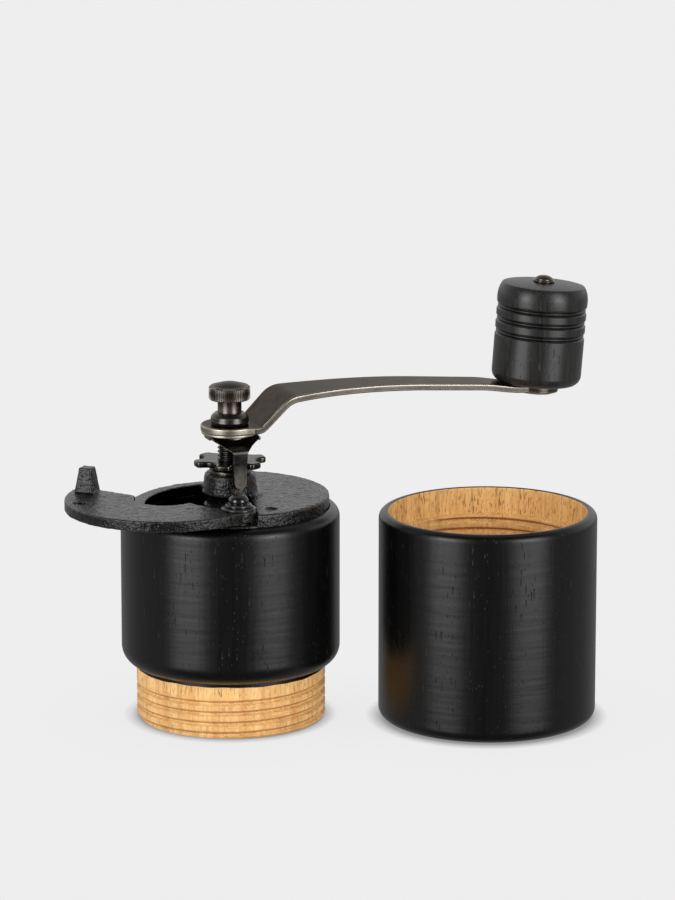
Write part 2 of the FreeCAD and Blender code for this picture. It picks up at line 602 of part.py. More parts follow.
def double_d(name, radius, half_flat, z0, height):
    """Hole for the flatted spindle end: a cylinder with two flat sides."""
    c = cylinder(name + "_round", radius, height, (0, 0, z0))
    b = doc.addObject("Part::Box", name + "_slab")
    b.Length, b.Width, b.Height = 12.0, 2 * half_flat, height
    b.Placement = Plc(V(-6.0, -half_flat, z0), Rot())
    common = doc.addObject("Part::MultiCommon", name)
    common.Shapes = [c, b]
    return common


node(cut("lock_clip", clip_fuse, [double_d("clip_hole", 3.93, 3.13, 90.0, 3.5)]), "lock_clip", CRANK, "crank_deg")

# ---------------------------------------------------------------- crank (own frame: along +X)
washer_body = turned("crank_washer_blank", [(3.0, "clip_top"), (9.0, "clip_top"), (9.0, "eye_bottom"), (3.0, "eye_bottom")])
node(cut("crank_washer", washer_body, [double_d("washer_hole", 3.93, 3.13, 92.0, 2.0)]), "crank_washer", CRANK, "crank_deg")

th = D["arm_thickness"]
zt = D["eye_top"]


def along_arc(cx, cz, rad, deg):
    return cx - rad * math.sin(math.radians(deg)), cz + rad * math.cos(math.radians(deg))


# root bend (concave upwards) about b1, shoulder bend about b2, and the straight ramp that touches both
r1, r2 = 2.5, 9.0
b1 = (6.2, zt + r1)
b2 = (20.628, 96.222)
rise = math.degrees(math.asin((r1 + r2) / math.hypot(b2[0] - b1[0], b2[1] - b1[1])) + math.atan2(b2[1] - b1[1], b2[0] - b1[0]))
start2 = along_arc(b2[0], b2[1], r2, rise)
mid2 = along_arc(b2[0], b2[1], r2, 24.0)
end2 = along_arc(b2[0], b2[1], r2, 4.0)
end1 = (b1[0] + r1 * math.sin(math.radians(rise)), b1[1] - r1 * math.cos(math.radians(rise)))
mid1 = (b1[0] + r1 * math.sin(math.radians(rise / 2)), b1[1] - r1 * math.cos(math.radians(rise / 2)))
slope0, slope1 = 4.0, -D["arm_end_deg"]
b3 = (end2[0] + 300.0 * math.sin(math.radians(slope0)), end2[1] - 300.0 * math.cos(math.radians(slope0)))
mid3 = along_arc(b3[0], b3[1], 300.0, 0.0)
end3 = along_arc(b3[0], b3[1], 300.0, slope1)
tip_s = 114.0
run = math.tan(math.radians(slope1))
step_s, drop = (86.0, 96.8), D["end_step"]
step_a = (step_s[0], end3[1] + (step_s[0] - end3[0]) * run)
step_b = (step_s[1], end3[1] + (step_s[1] - end3[0]) * run - drop)
tip = (tip_s, end3[1] + (tip_s - end3[0]) * run - drop)
nx, nz = math.sin(math.radians(slope1)), -math.cos(math.radians(slope1))
u_end1 = (b1[0] + (r1 + th) * math.sin(math.radians(rise)), b1[1] - (r1 + th) * math.cos(math.radians(rise)))
u_mid1 = (b1[0] + (r1 + th) * math.sin(math.radians(rise / 2)), b1[1] - (r1 + th) * math.cos(math.radians(rise / 2)))
u_start2 = along_arc(b2[0], b2[1], r2 - th, rise)
u_mid2 = along_arc(b2[0], b2[1], r2 - th, 24.0)
u_end2 = along_arc(b2[0], b2[1], r2 - th, 4.0)
u_mid3 = along_arc(b3[0], b3[1], 300.0 - th, 0.0)
u_end3 = along_arc(b3[0], b3[1], 300.0 - th, slope1)
u_tip = (tip[0] + th * nx, tip[1] + th * nz)
lean = math.radians(0.5 * math.degrees(math.atan2(step_a[1] - step_b[1], step_s[1] - step_s[0])) + 0.5 * D["arm_end_deg"])
u_step_a = (step_a[0] - th * math.sin(lean), step_a[1] - th * math.cos(lean))
u_step_b = (step_b[0] - th * math.sin(lean), step_b[1] - th * math.cos(lean))
side_body = new_body("arm_side")
sk = outline(new_sketch(side_body, "arm_side_profile", "XZ_Plane"), [
    (-9.5, "eye_top"), (-9.5, "eye_bottom"), (b1[0], "eye_bottom"), u_end1 + (u_mid1,), u_start2, u_end2 + (u_mid2,),
    u_end3 + (u_mid3,), u_step_a, u_step_b, u_tip, tip, step_b, step_a, end3, end2 + (mid3,), start2 + (mid2,), end1, (b1[0], "eye_top", mid1)])
pad(side_body, sk, "arm_side_pad", 30.0, midplane=True)

ARM_HALF = [(6.0, 9.55), (12.0, 10.1), (17.0, 10.25), (20.0, 10.0), (24.0, 9.3), (28.0, 8.7), (34.0, 8.05), (42.0, 7.45),
            (52.0, 7.0), (62.0, 6.65), (72.0, 6.4), (82.0, 6.2), (92.0, 6.1)]
end_c, end_r = D["knob_station"] + 0.2, 7.3
plan_body = new_body("arm_plan")
sk = new_sketch(plan_body, "arm_plan_outline", "XY_Plane", 85.0)
root = math.radians(75.0)
root_pt = (D["eye_radius"] * math.cos(root), D["eye_radius"] * math.sin(root))
end_a = math.radians(128.0)
end_pt = (end_c + end_r * math.cos(end_a), end_r * math.sin(end_a))
up = [V(root_pt[0], root_pt[1], 0)] + [V(s, h, 0) for s, h in ARM_HALF] + [V(end_pt[0], end_pt[1], 0)]
down = [V(p.x, -p.y, 0) for p in up]
upper, lower = Part.BSplineCurve(), Part.BSplineCurve()
upper.interpolate(up)
lower.interpolate(down)
g0 = sk.addGeometry(upper, False)
g1 = sk.addGeometry(lower, False)
g2 = sk.addGeometry(Part.Arc(up[0], V(-D["eye_radius"], 0, 0), down[0]), False)
g3 = sk.addGeometry(Part.Arc(down[-1], V(end_c + end_r, 0, 0), up[-1]), False)
for ga, pa, gb, pb in ((g0, 1, g2, 1), (g1, 1, g2, 2), (g1, 2, g3, 1), (g0, 2, g3, 2)):
    sk.addConstraint(Sketcher.Constraint("Coincident", ga, pa, gb, pb))
pad(plan_body, sk, "arm_plan_pad", 30.0)
arm_common = doc.addObject("Part::MultiCommon", "arm_strip")
arm_common.Shapes = [side_body, plan_body]

# frame of the knob: its foot on the arm's top face, leaning outwards with the arm's end
KNOB_Z = tip[1] + (D["knob_station"] - tip[0]) * math.tan(math.radians(slope1))
KNOB = CRANK.multiply(Plc(V(D["knob_station"], 0, KNOB_Z), Rot(V(0, 1, 0), D["arm_end_deg"])))
KNOB_LOCAL = Plc(V(D["knob_station"], 0, KNOB_Z), Rot(V(0, 1, 0), D["arm_end_deg"]))
rivet_hole = doc.addObject("Part::Cylinder", "arm_rivet_hole")
rivet_hole.Radius, rivet_hole.Height = D["pin_radius"], 8.0
rivet_hole.setExpression("Radius", formula("pin_radius"))
rivet_hole.Placement = KNOB_LOCAL.multiply(Plc(V(0, 0, -5.0), Rot()))
node(cut("crank_arm", arm_common, [double_d("eye_hole", 3.93, 3.13, 92.5, 4.0), rivet_hole]), "crank_arm", CRANK, "crank_deg")

# ---------------------------------------------------------------- knob on its rivet (own frame: foot at zero)
# three pairs of fine turned grooves
GROOVES = (16.8, 21.0, 25.1)
kr = D["knob_radius"]
prof = [(2.57, 0.3), (11.15, 0.3), ("knob_radius", 3.7, (11.15 + 3.4 * math.sin(0.785), 3.7 - 3.4 * math.cos(0.785)))]
for g in GROOVES:
    for h in (g - 0.53, g + 0.53):
        prof += [("knob_radius", h - 0.27), ("knob_radius - 0.45", h), ("knob_radius", h + 0.27)]
knob_top = D["knob_height"] + 0.3
prof += [("knob_radius + 0.15", knob_top - 5.55), (13.4, knob_top - 0.85, (14.37, knob_top - 3.01)),
         (3.6, "knob_height + 0.3", (8.6, knob_top - 0.25)), (2.57, "knob_height + 0.3")]
node(turned("crank_knob", prof), "crank_knob", KNOB)
node(turned("knob_low_washer", [("pin_radius", 0), (5.0, 0), (5.0, 0.25), ("pin_radius", 0.25)]), "knob_low_washer", KNOB)
node(turned("knob_top_washer", [("pin_radius", 33.5), (3.45, 33.5), (3.45, 33.95), (3.25, 34.15), ("pin_radius", 34.15)]), "knob_top_washer", KNOB)
rivet = turned("knob_pin_blank", [
    (0, 6.3), (5.6, 6.4), (6.3, 6.75), (6.3, 7.0), ("pin_radius", 7.0), ("pin_radius", 43.35), (2.9, 43.35), (2.9, 43.65),
    (0.5, 44.8, (2.0, 44.48)), (0, 44.8)])
node(rivet, "knob_pin", KNOB.multiply(Plc(V(0, 0, -9.2), Rot())))

# ---------------------------------------------------------------- bead and thumb screw
node(turned("dome_washer", [
    (4.1, "eye_top"), (5.5, "eye_top"), (6.2, 96.6, (6.02, 96.0)), (4.6, "bead_top", (5.9, 98.4)), (2.6, "bead_top"),
    (2.6, "spindle_top + 0.3"), (4.1, "spindle_top + 0.3")]), "dome_washer")
blank = turned("thumb_blank", [
    (0, 86.0), (1.9, 86.0), (2.45, 86.6), (2.45, "bead_top + 0.02"), (3.8, "bead_top + 0.02"), (3.8, 103.2), (4.4, 103.6),
    (6.2, 103.6), (6.6, 104.0), (6.6, 107.5), (6.1, 108.0), (0.8, 109.26, (3.4, 108.93)), (0, 109.26)])
TEETH = 64
knurl = doc.addObject("Part::Polygon", "knurl_outline")
knurl.Nodes = [V(*polar_xy(6.62 if k % 2 == 0 else 6.28, k * 180.0 / TEETH), 80.0) for k in range(2 * TEETH)]
knurl.Close = True
prism = doc.addObject("Part::Extrusion", "knurl_prism")
prism.Base = knurl
prism.DirMode = "Custom"
prism.Dir = V(0, 0, 1)
prism.LengthFwd = 35.0
prism.Solid = True
thumb = doc.addObject("Part::MultiCommon", "thumb_screw")
thumb.Shapes = [blank, prism]
node(thumb, "thumb_screw")

# ---------------------------------------------------------------- cup
cr, ch = D["cup_radius"], D["cup_height"]
q = math.sqrt(0.5)
cup_turned = turned("cup_blank", [
    (0, 0), ("cup_radius - 3.6", 0), ("cup_radius", 3.6, (cr - 3.6 + 3.6 * q, 3.6 - 3.6 * q)), ("cup_radius", "cup_height - 2.4"),
    ("cup_radius - 2.4", "cup_height", (cr - 2.4 + 2.4 * q, ch - 2.4 + 2.4 * q)), ("cup_rim_bore + 0.3", "cup_height - 0.1"),
    ("cup_rim_bore", "cup_height - 0.6"), ("cup_rim_bore", 59.2), ("cup_bore", 58.6), ("cup_bore", "cup_floor + 3"),
    ("cup_bore - 3", "cup_floor", (29.6 - 3 + 3 * q, 10.0 - 3 * q)), (0, "cup_floor")])
cup_groove = helical_ridge("cup_thread", "thread_pitch", 14.8, D["cup_bore"], 42.75, [
    (30.6, 0.5), (30.6, -0.5), (28.8, -1.45), (28.8, 1.45)])
cup = node(cut("receiver_cup", cup_turned, [cup_groove]), "receiver_cup", Plc(V(D["cup_x"], D["cup_y"], 0), Rot()))
cup.setExpression("Placement.Base.x", formula("cup_x"))
cup.setExpression("Placement.Base.y", formula("cup_y"))

doc.recompute()

# ---------------------------------------------------------------- checks and export
bad = [o.Label for o in doc.Objects if "Invalid" in o.State or "Error" in o.State]
assert not bad, "objects in error: %s" % bad
os.makedirs("parts", exist_ok=True)
for name, obj in NODES:
    shape = obj.Shape
    assert not shape.isNull() and shape.isValid(), "bad shape: " + name
    assert shape.Solids and shape.Volume > 0, "no solid: " + name
for name, obj in NODES:
    obj.Shape.exportStep("parts/%s.step" % name)
    bb = obj.Shape.BoundBox
    print("%-18s solids %d vol %9.1f  x %.2f..%.2f y %.2f..%.2f z %.2f..%.2f" % (
        name, len(obj.Shape.Solids), obj.Shape.Volume, bb.XMin, bb.XMax, bb.YMin, bb.YMax, bb.ZMin, bb.ZMax))
print(len(NODES), "nodes; knob foot z %.2f" % KNOB_Z)
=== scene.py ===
import json
import math

import bmesh
import bpy
import numpy as np
from mathutils import Matrix, Vector, noise


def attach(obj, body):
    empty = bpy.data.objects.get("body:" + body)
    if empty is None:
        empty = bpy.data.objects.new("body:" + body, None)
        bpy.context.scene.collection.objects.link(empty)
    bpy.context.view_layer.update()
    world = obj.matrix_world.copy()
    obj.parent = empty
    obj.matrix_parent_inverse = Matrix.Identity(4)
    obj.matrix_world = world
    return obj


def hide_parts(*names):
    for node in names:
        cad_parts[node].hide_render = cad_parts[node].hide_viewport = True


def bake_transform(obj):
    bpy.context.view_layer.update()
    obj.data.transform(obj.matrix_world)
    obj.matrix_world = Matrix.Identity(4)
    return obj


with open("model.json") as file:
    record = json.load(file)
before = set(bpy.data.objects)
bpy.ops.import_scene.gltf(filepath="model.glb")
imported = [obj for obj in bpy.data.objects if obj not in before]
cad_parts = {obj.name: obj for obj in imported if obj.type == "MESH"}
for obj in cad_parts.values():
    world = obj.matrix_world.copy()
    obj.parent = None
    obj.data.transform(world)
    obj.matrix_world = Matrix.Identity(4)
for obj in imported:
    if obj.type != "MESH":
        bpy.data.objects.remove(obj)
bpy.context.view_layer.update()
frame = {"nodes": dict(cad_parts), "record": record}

# Hand crank coffee grinder: mill with its lid swung open, and the cup standing beside it.
# All outlines below are in millimetres in the object's own frame and are scaled to metres when a mesh is made.
NODES = frame["nodes"]
BODY = {n: b for b, ns in frame["record"]["behaviour"]["bodies"].items() for n in ns}
MM = 0.001
TAU = 2 * math.pi


# ------------------------------------------------------------------------------------------ outlines
def arc(cx, cy, r, a0, a1, n):
    """Points on a circle from a0 to a1 degrees."""
    out = []
    for k in range(n + 1):
        a = math.radians(a0 + (a1 - a0) * k / n)
        out.append((cx + r * math.cos(a), cy + r * math.sin(a)))
    return out


def rounded(corners, closed=True, step=9.0):
    """Outline through corners (x, y) or (x, y, radius); a radius turns the corner into an arc."""
    out, m = [], len(corners)
    for i, c in enumerate(corners):
        p = np.array(c[:2], float)
        r = c[2] if len(c) > 2 else 0.0
        if r <= 0 or (not closed and i in (0, m - 1)):
            out.append((p[0], p[1]))
            continue
        a = np.array(corners[i - 1][:2], float) - p
        b = np.array(corners[(i + 1) % m][:2], float) - p
        la, lb = np.linalg.norm(a), np.linalg.norm(b)
        a, b = a / la, b / lb
        half = math.acos(float(np.clip(a @ b, -1, 1))) / 2
        t = min(r / math.tan(half), 0.48 * la, 0.48 * lb)
        rr = t * math.tan(half)
        mid = (a + b) / np.linalg.norm(a + b)
        ctr = p + mid * (rr / math.sin(half))
        s, e = p + a * t - ctr, p + b * t - ctr
        a0 = math.atan2(s[1], s[0])
        d = (math.atan2(e[1], e[0]) - a0 + math.pi) % TAU - math.pi
        n = max(2, int(abs(math.degrees(d)) / step) + 1)
        for k in range(n + 1):
            out.append((ctr[0] + rr * math.cos(a0 + d * k / n), ctr[1] + rr * math.sin(a0 + d * k / n)))
    return out


def fine(points, step, lo=-1e9, hi=1e9, closed=False):
    """The same line with its runs between heights lo and hi cut into pieces no longer than step."""
    out = []
    pairs = list(zip(points, points[1:] + (points[:1] if closed else [])))
    for a, b in pairs:
        out.append(a)
        n = 1
        if lo <= min(a[1], b[1]) and max(a[1], b[1]) <= hi:
            n = max(1, math.ceil(math.hypot(b[0] - a[0], b[1] - a[1]) / step))
        for k in range(1, n):
            out.append((a[0] + (b[0] - a[0]) * k / n, a[1] + (b[1] - a[1]) * k / n))
    if not closed:
        out.append(points[-1])
    return out


def smooth01(x):
    x = np.clip(x, 0.0, 1.0)
    return x * x * (3 - 2 * x)


def helix(z, t, z0, pitch, height, half_in, half_out, run=0.08):
    """Depth, 0 to 1, of a right-handed helical groove at height z and angle t, with a run-out at both ends."""
    turns = height / pitch
    u = (z - z0) / pitch - t / TAU
    n = np.round(u)
    d = np.abs(u - n) * pitch
    tau = t / TAU + n
    return (1 - smooth01((d - half_in) / (half_out - half_in))) * smooth01(tau / run) * smooth01((turns - tau) / run)


# ------------------------------------------------------------------------------------------ meshes
def new_piece(name, mesh, nodes, looks, matrix=None, sharp=34.0, weighted=True):
    """Puts a mesh (metres, row frame) in the scene as the piece that stands for these nodes."""
    if matrix is not None:
        mesh.transform(matrix)
    ob = bpy.data.objects.new(name, mesh)
    bpy.context.scene.collection.objects.link(ob)
    for look in looks:
        mesh.materials.append(look)
    mesh.polygons.foreach_set("use_smooth", [True] * len(mesh.polygons))
    if sharp:
        mesh.set_sharp_from_angle(angle=math.radians(sharp))
    if weighted:
        w = ob.modifiers.new("face_weights", "WEIGHTED_NORMAL")
        w.keep_sharp = True
    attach(ob, BODY[nodes[0]])
    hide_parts(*nodes)
    return ob


def set_edge(mesh, values):
    a = mesh.attributes.new("edge", "FLOAT", "POINT")
    a.data.foreach_set("value", np.asarray(values, np.float32))


def turning(prof, closed, w=0.3):
    """How sharply a turned outline bends outwards near each of its points, 0 to 1."""
    p = np.array(prof, float)
    q = np.vstack([p, p[:1]]) if closed else p
    seg = np.diff(q, axis=0)
    ln = np.maximum(np.linalg.norm(seg, axis=1), 1e-9)
    s = np.concatenate([[0], np.cumsum(ln)])
    ang = np.unwrap(np.arctan2(seg[:, 1], seg[:, 0]))
    area = 0.5 * np.sum(q[:-1, 0] * q[1:, 1] - q[1:, 0] * q[:-1, 1])
    mids = (s[:-1] + s[1:]) / 2
    out = []
    for k in range(len(p)):
        a = np.interp(s[k] - w, mids, ang)
        b = np.interp(s[k] + w, mids, ang)
        out.append((b - a) * (1 if area > 0 else -1))
    return np.clip(np.array(out) / math.radians(60), 0, 1)


def lathe(name, prof, seg, closed=True, warp=None, zone=None, at=(0.0, 0.0, 0.0), wear=0.3, cut=None, rub=None):
    """Turned mesh from an outline of (radius, height). A point on the axis becomes a pole.
    cut: function (R, Z, T) giving, 0 to 1, how much painted shade lies along a cut groove, kept as the groove mark on
    the mesh.
    rub: function (R, Z, T) giving how far a place is rubbed, 0 to 1, besides its outer edges."""
    p = np.array(prof, float)
    n = len(p)
    t = np.arange(seg) * TAU / seg
    R = np.repeat(p[:, :1], seg, 1)
    Z = np.repeat(p[:, 1:2], seg, 1)
    T = np.repeat(t[None, :], n, 0)
    if warp:
        R, Z = warp(R, Z, T)
    edge = np.repeat(turning(prof, closed, wear)[:, None], seg, 1)
    if rub:
        edge = np.maximum(edge, rub(np.repeat(p[:, :1], seg, 1), np.repeat(p[:, 1:2], seg, 1), T))
    depth = cut(np.repeat(p[:, :1], seg, 1), np.repeat(p[:, 1:2], seg, 1), T) if cut else np.zeros((n, seg))
    verts, marks, deep, ids = [], [], [], []
    for i in range(n):
        if p[i, 0] < 1e-6:
            ids.append([len(verts)] * seg)
            verts.append((at[0], at[1], Z[i, 0] + at[2]))
            marks.append(edge[i, 0])
            deep.append(depth[i, 0])
            continue
        ids.append(list(range(len(verts), len(verts) + seg)))
        x, y = R[i] * np.cos(T[i]), R[i] * np.sin(T[i])
        verts += [(x[k] + at[0], y[k] + at[1], Z[i, k] + at[2]) for k in range(seg)]
        marks += list(edge[i])
        deep += list(depth[i])
    faces, zones = [], []
    for i in range(n if closed else n - 1):
        a, b = ids[i], ids[(i + 1) % n]
        if p[i, 0] < 1e-6 and p[(i + 1) % n, 0] < 1e-6:
            continue
        z = zone(*((p[i] + p[(i + 1) % n]) / 2)) if zone else 0
        for k in range(seg):
            k2 = (k + 1) % seg
            f = [a[k], a[k2], b[k2], b[k]]
            f = [v for j, v in enumerate(f) if v != f[j - 1]]
            faces.append(f)
            zones.append(z)
    me = bpy.data.meshes.new(name)
    me.from_pydata((np.array(verts) * MM).tolist(), [], faces)
    me.polygons.foreach_set("material_index", zones)
    bm = bmesh.new()
    bm.from_mesh(me)
    bmesh.ops.recalc_face_normals(bm, faces=bm.faces)
    bm.to_mesh(me)
    bm.free()
    set_edge(me, marks)
    # the cut mark carries painted shade along the groove
    if cut:
        a = me.attributes.new("groove", "FLOAT", "POINT")
        a.data.foreach_set("value", np.asarray(deep, np.float32))
    return me


def mesh_arrays(me):
    co = np.empty(len(me.vertices) * 3, np.float32)
    me.vertices.foreach_get("co", co)
    ed = np.empty(len(me.edges) * 2, np.int32)
    me.edges.foreach_get("vertices", ed)
    no = np.empty(len(me.vertices) * 3, np.float32)
    me.vertices.foreach_get("normal", no)
    return co.reshape(-1, 3).astype(float), ed.reshape(-1, 2), no.reshape(-1, 3).astype(float)


def spread(values, ed, n, rounds):
    deg = np.bincount(ed.ravel(), minlength=n).astype(float)
    for _ in range(rounds):
        acc = np.bincount(ed[:, 0], values[ed[:, 1]], n) + np.bincount(ed[:, 1], values[ed[:, 0]], n)
        values = 0.5 * values + 0.5 * acc / np.maximum(deg, 1)
    return values


def soft_solid(name, node, voxel, rounds, grain=()):
    """Even, soft-edged skin over a node's shape: edges rounded as on a casting or a formed sheet.
    grain: (size, height) pairs of surface unevenness, in millimetres."""
    me = NODES[node].data.copy()
    bm = bmesh.new()
    bm.from_mesh(me)
    bmesh.ops.remove_doubles(bm, verts=bm.verts, dist=2e-6)
    bm.to_mesh(me)
    bm.free()
    me.transform(Matrix.Scale(1000, 4))
    tmp = bpy.data.objects.new(name + "_tmp", me)
    bpy.context.scene.collection.objects.link(tmp)
    r = tmp.modifiers.new("skin", "REMESH")
    r.mode, r.voxel_size, r.adaptivity = "VOXEL", voxel, 0.0
    s = tmp.modifiers.new("soft", "SMOOTH")
    s.factor, s.iterations = 0.5, rounds
    out = bpy.data.meshes.new_from_object(tmp.evaluated_get(bpy.context.evaluated_depsgraph_get()))
    bpy.data.objects.remove(tmp)
    bpy.data.meshes.remove(me)
    out.name = name
    out.materials.clear()
    co, ed, no = mesh_arrays(out)
    n = len(co)
    deg = np.bincount(ed.ravel(), minlength=n).astype(float)
    lap = np.zeros_like(co)
    for k in range(3):
        lap[:, k] = (np.bincount(ed[:, 0], co[ed[:, 1], k], n) + np.bincount(ed[:, 1], co[ed[:, 0], k], n)) / deg - co[:, k]
    bend = -np.einsum("ij,ij->i", lap, no) / voxel
    bend = spread(bend, ed, n, 3)
    top = np.percentile(bend, 99.0)
    for size, height in grain:
        h = np.array([noise.noise(Vector((p[0] / size, p[1] / size, p[2] / size))) for p in co])
        co = co + no * (h * height)[:, None]
    out.vertices.foreach_set("co", (co * MM).astype(np.float32).ravel())
    set_edge(out, np.clip(bend / max(top, 1e-6), 0, 1))
    out.update()
    return out


def mesh_from(name, verts, faces):
    me = bpy.data.meshes.new(name)
    me.from_pydata((np.array(verts, float) * MM).tolist(), [], faces)
    bm = bmesh.new()
    bm.from_mesh(me)
    bmesh.ops.recalc_face_normals(bm, faces=bm.faces)
    bm.to_mesh(me)
    bm.free()
    return me


def cut_away(mesh, cutters):
    """The mesh with the cutters' volumes taken out of it."""
    ob = bpy.data.objects.new("cut_tmp", mesh)
    bpy.context.scene.collection.objects.link(ob)
    helpers = []
    for k, c in enumerate(cutters):
        h = bpy.data.objects.new("cut_tool_%d" % k, c)
        bpy.context.scene.collection.objects.link(h)
        helpers.append(h)
        m = ob.modifiers.new("cut%d" % k, "BOOLEAN")
        m.operation, m.solver, m.object = "DIFFERENCE", "EXACT", h
    bpy.context.view_layer.update()
    out = bpy.data.meshes.new_from_object(ob.evaluated_get(bpy.context.evaluated_depsgraph_get()))
    out.name = mesh.name
    for o in [ob] + helpers:
        old = o.data
        bpy.data.objects.remove(o)
        bpy.data.meshes.remove(old)
    out.materials.clear()
    return out


def edge_by_angle(mesh, lo=4.0, hi=13.0):
    """Marks rounded and sharp outer edges from the angle between neighbouring faces."""
    bm = bmesh.new()
    bm.from_mesh(mesh)
    val = np.zeros(len(bm.verts))
    for e in bm.edges:
        if len(e.link_faces) == 2:
            a = math.degrees(e.calc_face_angle_signed(0.0))
            for v in e.verts:
                val[v.index] = max(val[v.index], a)
    bm.free()
    set_edge(mesh, np.clip((val - lo) / (hi - lo), 0, 1))


# ------------------------------------------------------------------------------------------ materials
class Look:
    """A node material on one Principled shader. Patterns are in millimetres of the piece's own space."""

    def __init__(self, name, **plain):
        self.mat = bpy.data.materials.new(name)
        self.mat.use_nodes = True
        self.t = self.mat.node_tree
        self.b = next(n for n in self.t.nodes if n.type == "BSDF_PRINCIPLED")
        for k, v in plain.items():
            self.b.inputs[k.replace("_", " ")].default_value = v
        self.tc = self.t.nodes.new("ShaderNodeTexCoord")

    def put(self, node, key, val):
        if isinstance(val, bpy.types.NodeSocket):
            self.t.links.new(val, node.inputs[key])
        elif val is not None:
            node.inputs[key].default_value = val

    def space(self, sx=1.0, sy=1.0, sz=1.0):
        n = self.t.nodes.new("ShaderNodeVectorMath")
        n.operation = "MULTIPLY"
        self.t.links.new(self.tc.outputs["Object"], n.inputs[0])
        n.inputs[1].default_value = (1000 * sx, 1000 * sy, 1000 * sz)
        return n.outputs[0]

    def height(self):
        """Height in millimetres in the piece's own space."""
        n = self.t.nodes.new("ShaderNodeSeparateXYZ")
        self.t.links.new(self.space(), n.inputs[0])
        return n.outputs["Z"]

    def noise(self, vec, detail=2.0, rough=0.5, distort=0.0, scale=1.0):
        n = self.t.nodes.new("ShaderNodeTexNoise")
        self.put(n, "Vector", vec)
        self.put(n, "Scale", scale)
        self.put(n, "Detail", detail)
        self.put(n, "Roughness", rough)
        self.put(n, "Distortion", distort)
        return n.outputs[0]

    def cells(self, vec, feature="F1", scale=1.0, rand=1.0):
        n = self.t.nodes.new("ShaderNodeTexVoronoi")
        n.feature = feature
        self.put(n, "Vector", vec)
        self.put(n, "Scale", scale)
        self.put(n, "Randomness", rand)
        return n.outputs["Distance"]

    def span(self, v, a, b, c=0.0, d=1.0, smooth=False):
        n = self.t.nodes.new("ShaderNodeMapRange")
        n.interpolation_type = "SMOOTHSTEP" if smooth else "LINEAR"
        self.put(n, 0, v)
        for i, x in enumerate((a, b, c, d)):
            self.put(n, i + 1, x)
        return n.outputs[0]

    def math(self, op, a, b=None, clamp=False):
        n = self.t.nodes.new("ShaderNodeMath")
        n.operation, n.use_clamp = op, clamp
        self.put(n, 0, a)
        self.put(n, 1, b)
        return n.outputs[0]

    def mix(self, f, a, b):
        n = self.t.nodes.new("ShaderNodeMix")
        n.data_type = "RGBA"
        self.put(n, 0, f)
        for i, c in ((6, a), (7, b)):
            self.put(n, i, c if isinstance(c, bpy.types.NodeSocket) else (*c, 1.0))
        return n.outputs[2]

    def mark(self, name):
        n = self.t.nodes.new("ShaderNodeAttribute")
        n.attribute_name = name
        return n.outputs["Fac"]

    def bump(self, height, distance, strength=1.0, before=None):
        n = self.t.nodes.new("ShaderNodeBump")
        self.put(n, "Height", height)
        n.inputs["Distance"].default_value = distance * MM
        n.inputs["Strength"].default_value = strength
        if before is not None:
            self.t.links.new(before, n.inputs["Normal"])
        return n.outputs[0]

    def set(self, **sockets):
        for k, v in sockets.items():
            self.put(self.b, k.replace("_", " "), v)
        return self.mat


def lacquer_look(name, pore=1.0, turned=1.0, low=0.0004, high=0.0012, gloss=0.5):
    """Black satin stain over open-pored turned wood, grain upright. low, high: how dark and how light the stain lies."""
    L = Look(name, Specular_IOR_Level=gloss)
    grain = L.noise(L.space(1.3, 1.3, 0.045), detail=5, rough=0.6)
    fibre = L.noise(L.space(5.0, 5.0, 0.10), detail=3, rough=0.6)
    turn = L.noise(L.space(0.035, 0.035, 0.42), detail=1.5, rough=0.5)
    where = L.span(L.noise(L.space(0.085, 0.085, 0.03), detail=2), 0.48, 0.64, 0.0, 1.0)
    slit = L.span(L.cells(L.space(0.85, 0.85, 0.105)), 0.09, 0.19, 1.0, 0.0, smooth=True)
    nick = L.span(L.cells(L.space(1.05, 1.05, 0.26)), 0.06, 0.15, 1.0, 0.0, smooth=True)
    pores = L.math("MAXIMUM", L.math("MULTIPLY", slit, where), L.math("MULTIPLY", L.math("MULTIPLY", nick, 0.55), L.span(where, 0.0, 1.0, 0.25, 0.9)))
    col = L.mix(L.span(grain, 0.25, 0.75), (low, low, low), (high, 0.97 * high, 0.93 * high))
    rough = L.math("ADD", L.span(grain, 0.3, 0.7, 0.27, 0.34), L.math("MULTIPLY", pores, 0.10))
    h = L.math("SUBTRACT", L.math("MULTIPLY", grain, 0.08), L.math("MULTIPLY", pores, pore))
    h = L.math("ADD", h, L.math("MULTIPLY", fibre, 0.035))
    h = L.math("ADD", h, L.math("MULTIPLY", turn, 0.34 * turned))
    return L.set(Base_Color=col, Roughness=rough, Normal=L.bump(h, 0.17, 1.0))


